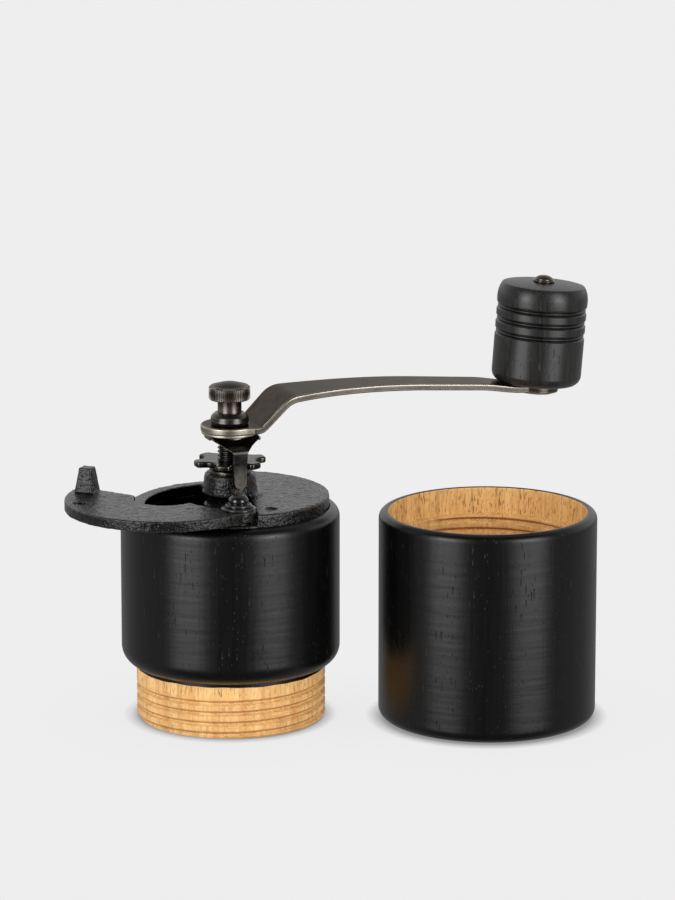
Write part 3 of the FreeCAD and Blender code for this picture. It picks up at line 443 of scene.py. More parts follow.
def bare_wood_look(name, light, dark, pore_col, thread, pores_at=0.60):
    """Oiled pale hardwood: upright streaks, short dark pores, fine fibres, torn grain where a thread is cut, and
    painted shade along the marked grooves.
    thread: lowest and highest height, in millimetres, of the threaded run."""
    L = Look(name, Specular_IOR_Level=0.35)
    z = L.height()
    cut = L.math("MULTIPLY", L.span(z, thread[0] - 0.4, thread[0] + 0.4), L.span(z, thread[1] - 0.5, thread[1] + 0.7, 1.0, 0.0))
    groove = L.mark("groove")
    band = L.noise(L.space(0.30, 0.30, 0.02), detail=4, rough=0.55)
    streak = L.noise(L.space(0.95, 0.95, 0.035), detail=5, rough=0.62)
    fibre = L.noise(L.space(6.0, 6.0, 0.16), detail=3, rough=0.65)
    where = L.span(L.noise(L.space(0.16, 0.16, 0.06), detail=2), 0.30, 0.55)
    dash = L.noise(L.space(2.2, 2.2, 0.36), detail=1.5, rough=0.5)
    pores = L.math("MULTIPLY", L.span(dash, pores_at, pores_at + 0.08, smooth=True), where)
    tiny = L.span(L.noise(L.space(4.2, 4.2, 0.45), detail=1.0), 0.62, 0.71, smooth=True)
    pores = L.math("MAXIMUM", pores, L.math("MULTIPLY", tiny, 0.55))
    lines = L.noise(L.space(0.22, 0.22, 2.3), detail=4, rough=0.65)
    ripple = L.noise(L.space(2.4, 2.4, 2.0), detail=4, rough=0.65, distort=0.6)
    patch = L.span(L.noise(L.space(0.13, 0.13, 0.10), detail=2), 0.44, 0.60)
    torn = L.math("MULTIPLY", L.math("MULTIPLY", L.span(ripple, 0.46, 0.62), patch), cut)
    col = L.mix(L.span(band, 0.35, 0.65), light, dark)
    col = L.mix(L.span(streak, 0.50, 0.70, 0.0, 0.75), col, tuple(0.55 * a + 0.45 * b for a, b in zip(dark, pore_col)))
    col = L.mix(L.span(fibre, 0.5, 0.8, 0.0, 0.35), col, pore_col)
    col = L.mix(L.math("MULTIPLY", pores, L.span(cut, 0.0, 1.0, 0.85, 0.35)), col, pore_col)
    col = L.mix(L.math("MULTIPLY", L.math("MULTIPLY", L.span(lines, 0.52, 0.66), cut), 0.32), col, pore_col)
    col = L.mix(L.math("MULTIPLY", torn, 0.42), col, pore_col)
    # painted shade: the groove mark, roughened by torn grain, darkens the wood along the thread grooves
    groove_shade_and_tear = L.math("ADD", groove, L.span(ripple, 0.3, 0.7, -0.28, 0.20))
    col = L.mix(L.math("MULTIPLY", L.span(groove_shade_and_tear, 0.45, 0.95), 0.72), col, pore_col)
    h = L.math("SUBTRACT", L.math("MULTIPLY", fibre, 0.25), L.math("MULTIPLY", pores, 0.8))
    h = L.math("ADD", h, L.math("MULTIPLY", L.math("MULTIPLY", L.math("ADD", ripple, lines), cut), 0.55))
    rough = L.span(fibre, 0.3, 0.7, 0.50, 0.68)
    return L.set(Base_Color=col, Roughness=rough, Normal=L.bump(h, 0.14, 0.85))


def casting_look(name, deep=False):
    """Sand casting in black paint, a little rubbed on its edges. deep: a near-black, dull version used as painted shade
    in recesses.
    """
    L = Look(name, Specular_IOR_Level=0.06 if deep else 0.5)
    sand = L.noise(L.space(1.25, 1.25, 1.25), detail=2.0, rough=0.55)
    fines = L.noise(L.space(2.6, 2.6, 2.6), detail=3, rough=0.6)
    lump = L.noise(L.space(0.45, 0.45, 0.45), detail=2, rough=0.5)
    pit = L.cells(L.space(1.1, 1.1, 1.1))
    edge = L.math("MULTIPLY", L.span(L.mark("edge"), 0.30, 0.9), L.span(fines, 0.36, 0.60), clamp=True)
    # deep: painted shade, near-black and with almost no reflection
    if deep:
        col = L.mix(fines, (0.0008, 0.0008, 0.0008), (0.0022, 0.0021, 0.0020))
    else:
        col = L.mix(L.span(sand, 0.3, 0.7), (0.0015, 0.0015, 0.0015), (0.0065, 0.0064, 0.0061))
        col = L.mix(L.math("MULTIPLY", edge, 0.6), col, (0.075, 0.072, 0.067))
    h = L.math("ADD", sand, L.math("MULTIPLY", lump, 0.6))
    h = L.math("ADD", h, L.math("MULTIPLY", fines, 0.30))
    h = L.math("SUBTRACT", h, L.math("MULTIPLY", L.span(pit, 0.0, 0.40, 1.0, 0.0, smooth=True), 0.30))
    rough = L.span(fines, 0.3, 0.7, 0.13, 0.22)
    return L.set(Base_Color=col, Roughness=rough, Normal=L.bump(h, 0.24, 1.0))


def steel_look(name, deep, worn, rough_lo, rough_hi, wear=1.0, blot=0.35, even=0.35, tint=(1.0, 1.0, 1.0)):
    """Blackened steel: patchy dark finish, rubbed brighter and warmer on edges. even: how evenly the edges are rubbed.
    tint: how much of the light that grazes the surface it throws back."""
    L = Look(name, Metallic=1.0, Specular_Tint=(*tint, 1.0))
    patch = L.noise(L.space(0.22, 0.22, 0.22), detail=5, rough=0.6)
    fine_n = L.noise(L.space(2.2, 2.2, 2.2), detail=4, rough=0.65)
    line = L.noise(L.space(0.5, 6.0, 6.0), detail=3, rough=0.6)
    edge = L.math("MULTIPLY", L.span(L.mark("edge"), 0.15, 0.8), L.span(fine_n, 0.30, 0.58, even, 1.0), clamp=True)
    lighter = tuple(d + (w - d) * blot for d, w in zip(deep, worn))
    col = L.mix(L.span(patch, 0.35, 0.68), deep, lighter)
    col = L.mix(L.math("MULTIPLY", edge, wear, clamp=True), col, worn)
    rough = L.math("ADD", L.span(patch, 0.3, 0.7, rough_lo, rough_hi), L.span(fine_n, 0.3, 0.7, -0.05, 0.05))
    h = L.math("ADD", L.math("MULTIPLY", fine_n, 0.6), L.math("MULTIPLY", line, 0.25))
    return L.set(Base_Color=col, Roughness=rough, Normal=L.bump(h, 0.02, 0.6))


def polish_look(name):
    """Glossy black enamel on a rivet cap, with faint orange peel."""
    L = Look(name, Specular_IOR_Level=0.5, IOR=1.7)
    peel = L.noise(L.space(1.1, 1.1, 1.1), detail=3)
    speck = L.span(L.noise(L.space(5, 5, 5), detail=2), 0.66, 0.75, smooth=True)
    edge = L.span(L.mark("edge"), 0.5, 1.0)
    col = L.mix(speck, (0.004, 0.004, 0.004), (0.02, 0.019, 0.018))
    col = L.mix(L.math("MULTIPLY", edge, 0.4), col, (0.05, 0.047, 0.043))
    return L.set(Base_Color=col, Roughness=L.span(peel, 0.3, 0.7, 0.06, 0.14), Normal=L.bump(peel, 0.05, 0.7))


BLACK = lacquer_look("black_lacquered_wood")
# darker lacquer for the knob's end grain, also used as painted shade in the knob's grooves
KNOB_END_AND_GROOVE_SHADE = lacquer_look("black_knob_end_grain_and_groove_shade", pore=0.5, turned=0.2, low=0.0006, high=0.003, gloss=0.28)
KNOB_BLACK = lacquer_look("black_knob_wood", pore=0.8, turned=0.5, low=0.004, high=0.024)
NECK_WOOD = bare_wood_look("bare_neck_wood", (0.88, 0.55, 0.228), (0.74, 0.395, 0.128), (0.30, 0.118, 0.028), (-1.0, 13.2))
CUP_WOOD = bare_wood_look("bare_cup_wood", (0.94, 0.585, 0.228), (0.82, 0.46, 0.158), (0.27, 0.11, 0.029), (42.0, 58.6), pores_at=0.565)
CAST = casting_look("black_casting")
# painted shade for the casting's recesses and hollows
CAST_PAINTED_SHADE = casting_look("black_casting_painted_recess_shade", deep=True)
STEEL = steel_look("blackened_steel", (0.056, 0.050, 0.045), (0.46, 0.415, 0.345), 0.20, 0.30, blot=0.10, even=0.6, tint=(0.60, 0.575, 0.55))
KNURL = steel_look("knurled_steel", (0.060, 0.055, 0.050), (0.32, 0.275, 0.235), 0.26, 0.36, blot=0.10, even=0.8, tint=(0.85, 0.84, 0.82))
RING = steel_look("rubbed_washer_steel", (0.34, 0.32, 0.27), (0.62, 0.57, 0.47), 0.38, 0.48, blot=0.3, even=0.7)
BARE_EDGE = steel_look("bare_edge_steel", (0.075, 0.068, 0.058), (0.50, 0.455, 0.38), 0.28, 0.38, blot=0.15, even=0.7)
# painted sheen: lighter steel that stands in for light reflected on the clip's downward faces
CLIP_PAINTED_SHEEN = steel_look("clip_painted_sheen_steel", (0.13, 0.125, 0.117), (0.36, 0.33, 0.29), 0.26, 0.36)
DARK = steel_look("dark_formed_steel", (0.032, 0.0305, 0.029), (0.26, 0.235, 0.20), 0.20, 0.32, wear=0.8, blot=0.22)
CLIP = steel_look("dark_sprung_steel", (0.024, 0.023, 0.022), (0.26, 0.235, 0.20), 0.20, 0.32, wear=0.8, blot=0.22, tint=(0.72, 0.71, 0.69))
BEAD = steel_look("dark_turned_steel", (0.062, 0.060, 0.053), (0.32, 0.30, 0.26), 0.26, 0.36, blot=0.15)
PIN = steel_look("brown_rivet_steel", (0.075, 0.060, 0.046), (0.26, 0.22, 0.17), 0.24, 0.36)
CAP = polish_look("black_rivet_cap")
# painted shade: near-black steel for the lid's spring washer and pivot, which sit under the lid
PAINTED_SHADE_STEEL = steel_look("spring_steel_painted_shade", (0.020, 0.019, 0.018), (0.07, 0.064, 0.056), 0.34, 0.46)
IRON = steel_look("burr_iron", (0.16, 0.155, 0.15), (0.42, 0.41, 0.39), 0.38, 0.55)
BRASS = steel_look("bush_brass", (0.46, 0.30, 0.11), (0.78, 0.60, 0.28), 0.26, 0.42)
PLAIN = steel_look("plain_steel", (0.42, 0.42, 0.42), (0.66, 0.66, 0.65), 0.24, 0.38)

# ------------------------------------------------------------------------------------------ wooden body
EDGE_Z = 16.8


def neck_cut(R, Z, T):
    inside = (R > 28.5) & (R < 31.0) & (Z < 16.2)
    return np.where(inside, helix(Z, T, -1.0, 3.4, 14.3, 0.25, 1.05), 0.0)


def neck_groove_shade(R, Z, T):
    """Painted shade on the upper flank of the groove."""
    inside = (R > 28.5) & (R < 31.0) & (Z < 16.2)
    return np.where(inside, helix(Z, T, -0.72, 3.4, 14.3, 0.10, 0.62), 0.0)


def housing_warp(R, Z, T):
    R = R - 0.90 * neck_cut(R, Z, T)
    # the brushed edge of the black stain is not quite level
    wob = 0.10 * np.sin(3 * T + 0.7) + 0.07 * np.sin(11 * T) + 0.05 * np.sin(23 * T + 1.3)
    Z = np.where((np.abs(Z - EDGE_Z) < 1e-6) & (R > 30.0), Z + wob, Z)
    return R, Z


body_prof = (
    rounded([(24.4, 1.5), (24.4, 0.0, 0.5), (29.37, 0.0, 0.25), (30.27, 0.9, 0.3), (30.27, 15.9)], closed=False)
    + [(30.27, EDGE_Z - 0.35), (30.27, EDGE_Z), (30.27, EDGE_Z + 0.35), (30.27, 17.5)]
    + arc(29.0, 23.7, 6.0, -77.78, 0.0, 18)
    + [(35.0, 24.2), (35.0, 35.0), (35.0, 45.0), (35.0, 55.0), (35.0, 65.0)]
    + arc(31.5, 65.5, 3.5, 0.0, 80.0, 16)
    + rounded([(32.107, 68.95), (31.9, 68.98, 0.12), (31.9, 66.2, 0.15), (27.6, 66.2, 0.4), (27.6, 58.0, 2.0), (18.5, 33.0, 2.0),
               (18.5, 27.6, 0.3), (24.4, 27.6, 0.3), (24.4, 12.0)], closed=False)[1:]
)
body_prof = fine(body_prof, 0.14, 0.2, 15.95)


def body_zone(r, z):
    if r > 29.0 and z < EDGE_Z:
        return 1
    if z < 0.9 or (z < 28.5 and 18.0 < r < 25.5):
        return 1
    return 0


new_piece("mill_body", lathe("mill_body", body_prof, 288, warp=housing_warp, zone=body_zone, cut=neck_groove_shade), ["housing"], [BLACK, NECK_WOOD])

# ------------------------------------------------------------------------------------------ cup
CUP = (82.23, -2.04, 0.0)


def cup_cut(R, Z, T):
    inside = (R > 29.0) & (R < 30.2) & (Z > 40.0) & (Z < 58.7)
    return np.where(inside, helix(Z, T, 42.75, 3.4, 14.9, 0.25, 1.10), 0.0)


# painted shade on the upper flank of each thread groove inside the cup
def cup_groove_shade(R, Z, T):
    inside = (R > 29.0) & (R < 30.2) & (Z > 40.0) & (Z < 58.7)
    return np.where(inside, helix(Z, T, 43.15, 3.4, 14.9, 0.12, 0.72), 0.0)


def cup_warp(R, Z, T):
    return R + 0.95 * cup_cut(R, Z, T), Z


cup_prof = (
    [(0, 0.35), (25.0, 0.35)] + rounded([(26.0, 0.35), (26.6, 0.0, 0.3), (28.5, 0.0)], closed=False)[1:]
    + arc(31.25, 3.6, 3.6, -90, 0, 14)
    + [(34.85, 4.2), (34.85, 15.0), (34.85, 25.0), (34.85, 35.0), (34.85, 45.0), (34.85, 55.0), (34.85, 64.8)]
    + arc(32.45, 65.34, 2.4, 0, 90, 14)
    + rounded([(32.2, 67.74), (31.75, 67.62, 0.3), (31.6, 67.1, 0.3), (31.6, 59.3, 0.25), (29.6, 58.7, 0.5), (29.6, 40.0)], closed=False)
    + [(29.6, 30.0), (29.6, 20.0), (29.6, 10.5)] + arc(26.6, 10.0, 3.0, 0, -90, 10) + [(20.0, 7.0), (10.0, 7.0), (0, 7.0)]
)
cup_prof = [p for k, p in enumerate(cup_prof) if k == 0 or math.hypot(p[0] - cup_prof[k - 1][0], p[1] - cup_prof[k - 1][1]) > 1e-6]
cut = next(k for k, p in enumerate(cup_prof) if p[0] < 29.7 and p[1] < 59.0 and p[1] > 50)
cup_prof = cup_prof[:cut] + fine(cup_prof[cut:], 0.15, 39.9, 58.75)


def cup_zone(r, z):
    return 1 if r < 31.78 and z > 5.0 else 0


new_piece("cup_body", lathe("cup_body", cup_prof, 288, closed=False, warp=cup_warp, zone=cup_zone, at=CUP, cut=cup_groove_shade), ["receiver_cup"], [BLACK, CUP_WOOD])

# ------------------------------------------------------------------------------------------ castings
GRAIN = ((2.2, 0.10), (1.1, 0.075))


def paint_zones(mesh, rule):
    """Gives a face the second material where the rule, on its middle in millimetres, says so."""
    for f in mesh.polygons:
        c = f.center
        f.material_index = 1 if rule(c.x * 1000, c.y * 1000, c.z * 1000) else 0


# painted shade: the boss under its lip and the hollows below the plate's top take the near-black casting
def plate_painted_shade(x, y, z):
    r = math.hypot(x, y)
    return (r < 8.7 and z < 73.3) or (z < 69.3 and r < 30.8)


plate_mesh = soft_solid("top_casting", "top_plate", 0.325, 3, GRAIN)
paint_zones(plate_mesh, plate_painted_shade)
new_piece("top_casting", plate_mesh, ["top_plate"], [CAST, CAST_PAINTED_SHADE], sharp=None, weighted=False)
lid_mesh = soft_solid("lid_casting", "hopper_flap", 0.21, 5, GRAIN)
# painted shade inside the small dimple on the lid
paint_zones(lid_mesh, lambda x, y, z: math.hypot(x + 46.87, y + 19.63) < 2.0 and 71.5 < z < 74.3)
new_piece("lid_casting", lid_mesh, ["hopper_flap"], [CAST, CAST_PAINTED_SHADE], sharp=None, weighted=False)

# ------------------------------------------------------------------------------------------ lid pivot
PIV = (3.3, -27.66, 0.0)
cap_prof = (
    rounded([(2.5, 74.42), (5.35, 74.42, 0.15), (5.35, 74.85, 0.2), (4.8, 75.12, 0.3), (3.85, 75.2, 0.1), (3.85, 75.4, 0.1),
             (4.15, 75.5, 0.15), (4.15, 75.9, 0.2), (3.75, 76.15, 0.25), (2.95, 76.3, 0.1), (3.04, 76.55)], closed=False)
    + [(3.11, 76.8), (3.15, 77.05), (3.14, 77.3), (3.06, 77.6), (2.9, 77.92), (2.65, 78.24), (2.3, 78.54), (1.85, 78.79), (1.3, 78.97), (0.7, 79.07), (0, 79.1)]
)
cap_prof = cap_prof + [(0, 76.8), (2.5, 76.8)]
new_piece("rivet_cap", lathe("rivet_cap", cap_prof, 72, at=PIV), ["flap_cap"], [CAP])
new_piece("lid_spring", lathe("lid_spring", rounded([(3.75, 69.72, 0.1), (3.75, 70.2, 0.2), (2.8, 70.91, 0.1), (2.8, 70.41, 0.2)]), 64, at=PIV), ["flap_spring_washer"], [PAINTED_SHADE_STEEL])

# ------------------------------------------------------------------------------------------ spindle with its thread
CRANK = math.radians(20.0)


def shaft_warp(R, Z, T):
    g = helix(Z, T, 80.4, 1.25, 12.5, 0.06, 0.50, run=0.15)
    R = np.where((Z > 79.8) & (Z < 93.9) & (R > 3.4), R - 0.58 * g, R)
    side = np.abs(np.sin(T - CRANK))
    flat = 3.1 / np.maximum(side, 1e-3)
    return np.where((Z > 90.3) & (R > 3.0), np.minimum(R, flat), R), Z


shaft_prof = rounded([(0, 2.6), (3.5, 2.6, 0.4), (3.5, 8.5), (4.0, 8.5, 0.1), (4.0, 26.0), (6.0, 26.0, 0.15), (6.0, 28.5, 0.4), (4.0, 28.5),
                      (4.0, 50.9), (3.3, 50.9), (3.3, 52.0), (4.0, 52.0), (4.0, 79.6), (3.9, 79.9), (3.9, 96.2, 0.4), (2.53, 96.2, 0.2),
                      (2.53, 84.0), (0, 82.6)], closed=False)
shaft_prof = [p for p in shaft_prof]
outer = next(k for k, p in enumerate(shaft_prof) if p[1] > 79.8)
inner = next(k for k, p in enumerate(shaft_prof) if p[1] > 95.5)
shaft_prof = shaft_prof[:outer] + fine(shaft_prof[outer:inner + 1], 0.085) + shaft_prof[inner + 1:]
new_piece("spindle_rod", lathe("spindle_rod", shaft_prof, 96, closed=False, warp=shaft_warp), ["shaft"], [DARK])

# ------------------------------------------------------------------------------------------ turned washers and screw
new_piece("thrust_ring", lathe("thrust_ring", rounded([(4.1, 79.85, 0.15), (6.6, 79.85, 0.25), (6.6, 80.95, 0.25), (4.1, 80.95, 0.15)]), 72), ["thrust_washer"], [DARK])
new_piece("crank_ring", lathe("crank_ring", rounded([(3.95, 92.6, 0.1), (9.0, 92.6, 0.24), (9.0, 93.45, 0.24), (3.95, 93.45, 0.1)]), 128), ["crank_washer"], [RING])
bead_prof = (
    [(4.1, 95.65), (5.35, 95.65)] + rounded([(5.35, 95.65), (5.75, 95.68, 0.3), (6.2, 96.6, 0.8), (5.93, 98.2, 1.4), (4.62, 99.4, 0.6), (3.7, 99.4)], closed=False)[1:]
    + [(2.6, 99.4), (2.6, 96.5), (4.1, 96.5)]
)
new_piece("bead_washer", lathe("bead_washer", bead_prof, 96), ["dome_washer"], [BEAD])


TEETH = 64


def knurl_warp(R, Z, T):
    top = smooth01((Z - 103.75) / 0.35) * smooth01((107.95 - Z) / 0.45)
    tooth = np.abs((T * TEETH / TAU) % 1.0 - 0.5) * 2
    R = np.where((R > 5.9) & (Z > 103.5), R - 0.34 * top * smooth01((tooth - 0.2) / 0.75), R)
    g = helix(Z, T, 87.2, 0.8, 11.6, 0.04, 0.34, run=0.2)
    return np.where((R > 2.2) & (R < 2.6) & (Z > 86.7), R - 0.36 * g, R), Z


def knurl_rub(R, Z, T):
    tooth = np.abs((T * TEETH / TAU) % 1.0 - 0.5) * 2
    return np.where((R > 5.9) & (Z > 103.5) & (Z < 108.1), 0.6 * (1 - smooth01(tooth / 0.55)), 0.0)


thumb_prof = (
    [(0, 86.0), (1.9, 86.0), (2.45, 86.6)] + fine([(2.45, 86.7), (2.45, 99.3)], 0.11) + [(2.45, 99.42)]
    + rounded([(3.5, 99.42), (3.8, 99.42, 0.2), (3.8, 103.2, 0.3), (4.4, 103.6, 0.2), (6.25, 103.6, 0.15), (6.6, 103.95, 0.15), (6.6, 105.7)], closed=False)
    + rounded([(6.6, 106.0), (6.6, 107.45, 0.15), (6.05, 108.0, 0.25), (5.2, 108.15, 0.3)], closed=False)
    + [(4.6, 108.38), (3.9, 108.62), (3.0, 108.87), (2.0, 109.08), (1.0, 109.21), (0, 109.26)]
)
new_piece("thumb_knob", lathe("thumb_knob", thumb_prof, 512, closed=False, warp=knurl_warp, wear=0.25, rub=knurl_rub), ["thumb_screw"], [KNURL])

# ------------------------------------------------------------------------------------------ star nut and clip
new_piece("star_wheel", soft_solid("star_wheel", "adjusting_nut", 0.15, 5), ["adjusting_nut"], [DARK], sharp=None, weighted=False)
clip_mesh = soft_solid("spring_clip", "lock_clip", 0.12, 5)


def ease_leg(mesh):
    """Turns the two straight runs of the clip's leg into one even curve."""
    zs, ys = (70.0, 76.3, 80.6, 87.9), (-11.336, -10.75, -10.35, -11.0)
    c, s = math.cos(math.radians(20.0)), math.sin(math.radians(20.0))
    for v in mesh.vertices:
        x, y, z = v.co.x * 1000, v.co.y * 1000, v.co.z * 1000
        own = -s * x + c * y
        if own > -8.8 or z > 85.6:
            continue
        reach = 3.6 * float(smooth01((85.6 - z) / 2.0))
        even = sum(float(np.interp(z + reach * k / 6, zs, ys)) for k in range(-6, 7)) / 13
        d = even - float(np.interp(z, zs, ys))
        v.co.x -= s * d * MM
        v.co.y += c * d * MM
    mesh.update()


ease_leg(clip_mesh)
# painted sheen: the clip's high faces that look down or sideways take the lighter steel
for f in clip_mesh.polygons:
    f.material_index = int(f.center.z * 1000 > 88.9 and f.normal.z < 0.2)
new_piece("spring_clip", clip_mesh, ["lock_clip"], [CLIP, CLIP_PAINTED_SHEEN], sharp=None, weighted=False)


# ------------------------------------------------------------------------------------------ crank arm
def arm_line():
    """Top line of the bent strip: stations along it, distance out, height and slope."""
    zt, r1, r2 = 95.65, 2.5, 9.0
    b1, b2 = (6.2, zt + r1), (20.628, 96.222)
    rise = math.degrees(math.asin((r1 + r2) / math.hypot(b2[0] - b1[0], b2[1] - b1[1])) + math.atan2(b2[1] - b1[1], b2[0] - b1[0]))
    pts = [(s, zt) for s in np.linspace(-12.0, b1[0], 24)]
    pts += [(b1[0] + r1 * math.sin(math.radians(a)), b1[1] - r1 * math.cos(math.radians(a))) for a in np.linspace(0, rise, 16)[1:]]
    arc2 = [(b2[0] - r2 * math.sin(math.radians(a)), b2[1] + r2 * math.cos(math.radians(a))) for a in np.linspace(rise, 4.0, 24)]
    a, b = pts[-1], arc2[0]
    pts += [(a[0] + (b[0] - a[0]) * k / 10, a[1] + (b[1] - a[1]) * k / 10) for k in range(1, 10)]
    pts += arc2
    e = arc2[-1]
    c = (e[0] + 300.0 * math.sin(math.radians(4.0)), e[1] - 300.0 * math.cos(math.radians(4.0)))
    pts += [(c[0] - 300.0 * math.sin(math.radians(a)), c[1] + 300.0 * math.cos(math.radians(a))) for a in np.linspace(4.0, -4.574, 60)[1:]]
    e = pts[-1]
    # near its end the strip sets down by 0.8
    pts += [(s, e[1] - (s - e[0]) * math.tan(math.radians(4.574)) - 0.8 * float(smooth01((s - 84.5) / 12.6))) for s in np.linspace(e[0], 118.0, 80)[1:]]
    p = np.array(pts)
    u = np.concatenate([[0], np.cumsum(np.linalg.norm(np.diff(p, axis=0), axis=1))])
    ang = np.unwrap(np.arctan2(np.gradient(p[:, 1], u), np.gradient(p[:, 0], u)))
    return u, p[:, 0], p[:, 1], ang


def arm_mesh():
    u, s, z, ang = arm_line()
    half = [(6.0, 9.55), (12.0, 10.1), (17.0, 10.25), (20.0, 10.0), (24.0, 9.3), (28.0, 8.7), (34.0, 8.05), (42.0, 7.45),
            (52.0, 7.0), (62.0, 6.65), (72.0, 6.4), (82.0, 6.2), (92.0, 6.1)]
    end_c, end_r, eye = 105.1, 7.3, 9.3
    root = (eye * math.cos(math.radians(75)), eye * math.sin(math.radians(75)))
    tail = (end_c + end_r * math.cos(math.radians(128)), end_r * math.sin(math.radians(128)))
    knots = np.array([root] + half + [tail])
    # natural cubic through the half widths
    x, y = knots[:, 0], knots[:, 1]
    h = np.diff(x)
    m = len(x)
    A = np.zeros((m, m))
    rhs = np.zeros(m)
    A[0, 0] = A[-1, -1] = 1
    for k in range(1, m - 1):
        A[k, k - 1], A[k, k], A[k, k + 1] = h[k - 1], 2 * (h[k - 1] + h[k]), h[k]
        rhs[k] = 6 * ((y[k + 1] - y[k]) / h[k] - (y[k] - y[k - 1]) / h[k - 1])
    M = np.linalg.solve(A, rhs)

    def width(q):
        k = int(np.clip(np.searchsorted(x, q) - 1, 0, m - 2))
        a, b = x[k + 1] - q, q - x[k]
        return (M[k] * a ** 3 + M[k + 1] * b ** 3) / (6 * h[k]) + (y[k] / h[k] - M[k] * h[k] / 6) * a + (y[k + 1] / h[k] - M[k + 1] * h[k] / 6) * b

    up = [(end_c + end_r * math.cos(math.radians(a)), end_r * math.sin(math.radians(a))) for a in np.linspace(0, 128, 30)]
    up += [(q, width(q)) for q in np.arange(tail[0] - 0.4, root[0] + 0.2, -0.5)]
    up += [(eye * math.cos(math.radians(a)), eye * math.sin(math.radians(a))) for a in np.linspace(75, 180, 34)]
    up = np.array(up)
    up[0, 1] = up[-1, 1] = 0.0
    up[:, 0] = np.interp(up[:, 0], s, u)
    loop = np.vstack([up, up[-2:0:-1] * [1, -1]])
    n, k_up = len(loop), len(up)
    # smooth the joins a little, then the outward normal of the loop
    for _ in range(3):
        mid = 0.25 * np.roll(loop, 1, 0) + 0.5 * loop + 0.25 * np.roll(loop, -1, 0)
        loop = mid
    tang = np.roll(loop, -1, 0) - np.roll(loop, 1, 0)
    nrm = np.stack([tang[:, 1], -tang[:, 0]], 1)
    nrm /= np.linalg.norm(nrm, axis=1)[:, None]
    th, r1, r2 = 2.2, 0.55, 0.40
    rings = [(2.4, 0.0), (r1 + 0.25, 0.0)]
    rings += [(r1 - r1 * math.sin(a), r1 - r1 * math.cos(a)) for a in np.linspace(0, math.pi / 2, 8)]
    rings += [(0.0, 1.2)]
    rings += [(r2 - r2 * math.cos(a), th - r2 + r2 * math.sin(a)) for a in np.linspace(0, math.pi / 2, 7)]
    rings += [(r2 + 0.25, th), (2.4, th)]
    verts, faces = [], []

    def place(uu, tt, depth):
        ss, zz, aa = np.interp(uu, u, s), np.interp(uu, u, z), np.interp(uu, u, ang)
        return ss + depth * math.sin(aa), tt, zz - depth * math.cos(aa)

    for inset, depth in rings:
        for j in range(n):
            q = loop[j] - nrm[j] * inset
            verts.append(place(q[0], q[1], depth))
    for i in range(len(rings) - 1):
        for j in range(n):
            a, b = i * n + j, i * n + (j + 1) % n
            faces.append([a, b, b + n, a + n])
    # the two broad faces: rows straight across from one edge to the other
    for ring, depth in ((0, 0.0), (len(rings) - 1, th)):
        rows = []
        for j in range(k_up):
            a = ring * n + j
            b = ring * n + (n - j) % n
            if a == b:
                rows.append([a])
                continue
            qa = loop[j] - nrm[j] * rings[ring][0]
            qb = loop[(n - j) % n] - nrm[(n - j) % n] * rings[ring][0]
            row = [a]
            for w in (0.25, 0.5, 0.75):
                q = qa + (qb - qa) * w
                row.append(len(verts))
                verts.append(place(q[0], q[1], depth))
            rows.append(row + [b])
        for a, b in zip(rows, rows[1:]):
            if len(a) == 1 or len(b) == 1:
                one, many = (a, b) if len(a) == 1 else (b, a)
                for w in range(len(many) - 1):
                    faces.append([one[0], many[w], many[w + 1]])
            else:
                for w in range(len(a) - 1):
                    faces.append([a[w], a[w + 1], b[w + 1], b[w]])
    return mesh_from("crank_strip", verts, faces)


def prism(name, outline, z0, z1):
    n = len(outline)
    verts = [(x, y, z0) for x, y in outline] + [(x, y, z1) for x, y in outline]
    faces = [list(range(n))[::-1], list(range(n, 2 * n))] + [[k, (k + 1) % n, n + (k + 1) % n, n + k] for k in range(n)]
    return mesh_from(name, verts, faces)


turn20 = Matrix.Rotation(CRANK, 4, "Z")
double_d = []
for k in range(96):
    a = TAU * k / 96
    r = min(3.95, 3.14 / max(abs(math.sin(a)), 1e-3))
    double_d.append((r * math.cos(a), r * math.sin(a)))
KNOB = Matrix.Translation(Vector((98.574, 35.878, 100.97)) * MM) @ Matrix.Rotation(CRANK, 4, "Z") @ Matrix.Rotation(math.radians(4.574), 4, "Y")
hole = prism("rivet_way", [(2.52 * math.cos(TAU * k / 48), 2.52 * math.sin(TAU * k / 48)) for k in range(48)], -6.0, 3.0)
hole.transform(turn20.inverted() @ KNOB)
arm = cut_away(arm_mesh(), [prism("eye_way", double_d, 92.0, 98.0), hole])
edge_by_angle(arm)
for f in arm.polygons:
    c = f.center * 1000
    if abs(f.normal.z) < 0.6 and (abs(f.normal.y) > 0.5 or c.x < 5.0 or c.x > 100.0) and math.hypot(c.x, c.y) > 4.6:
        f.material_index = 2 if c.x < 5.0 else 1
new_piece("crank_strip", arm, ["crank_arm"], [STEEL, BARE_EDGE, RING], matrix=turn20, sharp=40)

# ------------------------------------------------------------------------------------------ knob
knob_prof = rounded([(2.6, 0.3, 0.2), (10.9, 0.3), (11.1, 0.3)], closed=False) + arc(11.15, 3.7, 3.4, -86, 0, 12)
for g in (16.8, 21.0, 25.1):
    half = [(14.58, -1.20), (14.56, -1.04), (14.48, -0.95), (14.02, -0.64), (13.94, -0.56), (13.96, -0.48), (14.20, -0.24), (14.29, -0.10)]
    knob_prof += [(r, g + d) for r, d in half] + [(r, g - d) for r, d in reversed(half)]
knob_prof += [(14.66, 26.6), (14.70, 27.9)] + [(10.5 + 4.2 * math.cos(math.radians(a)), 27.9 + 6.5 * math.sin(math.radians(a))) for a in np.arange(4, 46, 4)]
knob_prof += [(13.42, 32.56), (13.34, 32.64), (13.2, 32.68), (12.0, 32.86), (10.0, 33.08), (8.0, 33.25), (6.0, 33.38), (4.4, 33.44), (3.4, 33.45)]
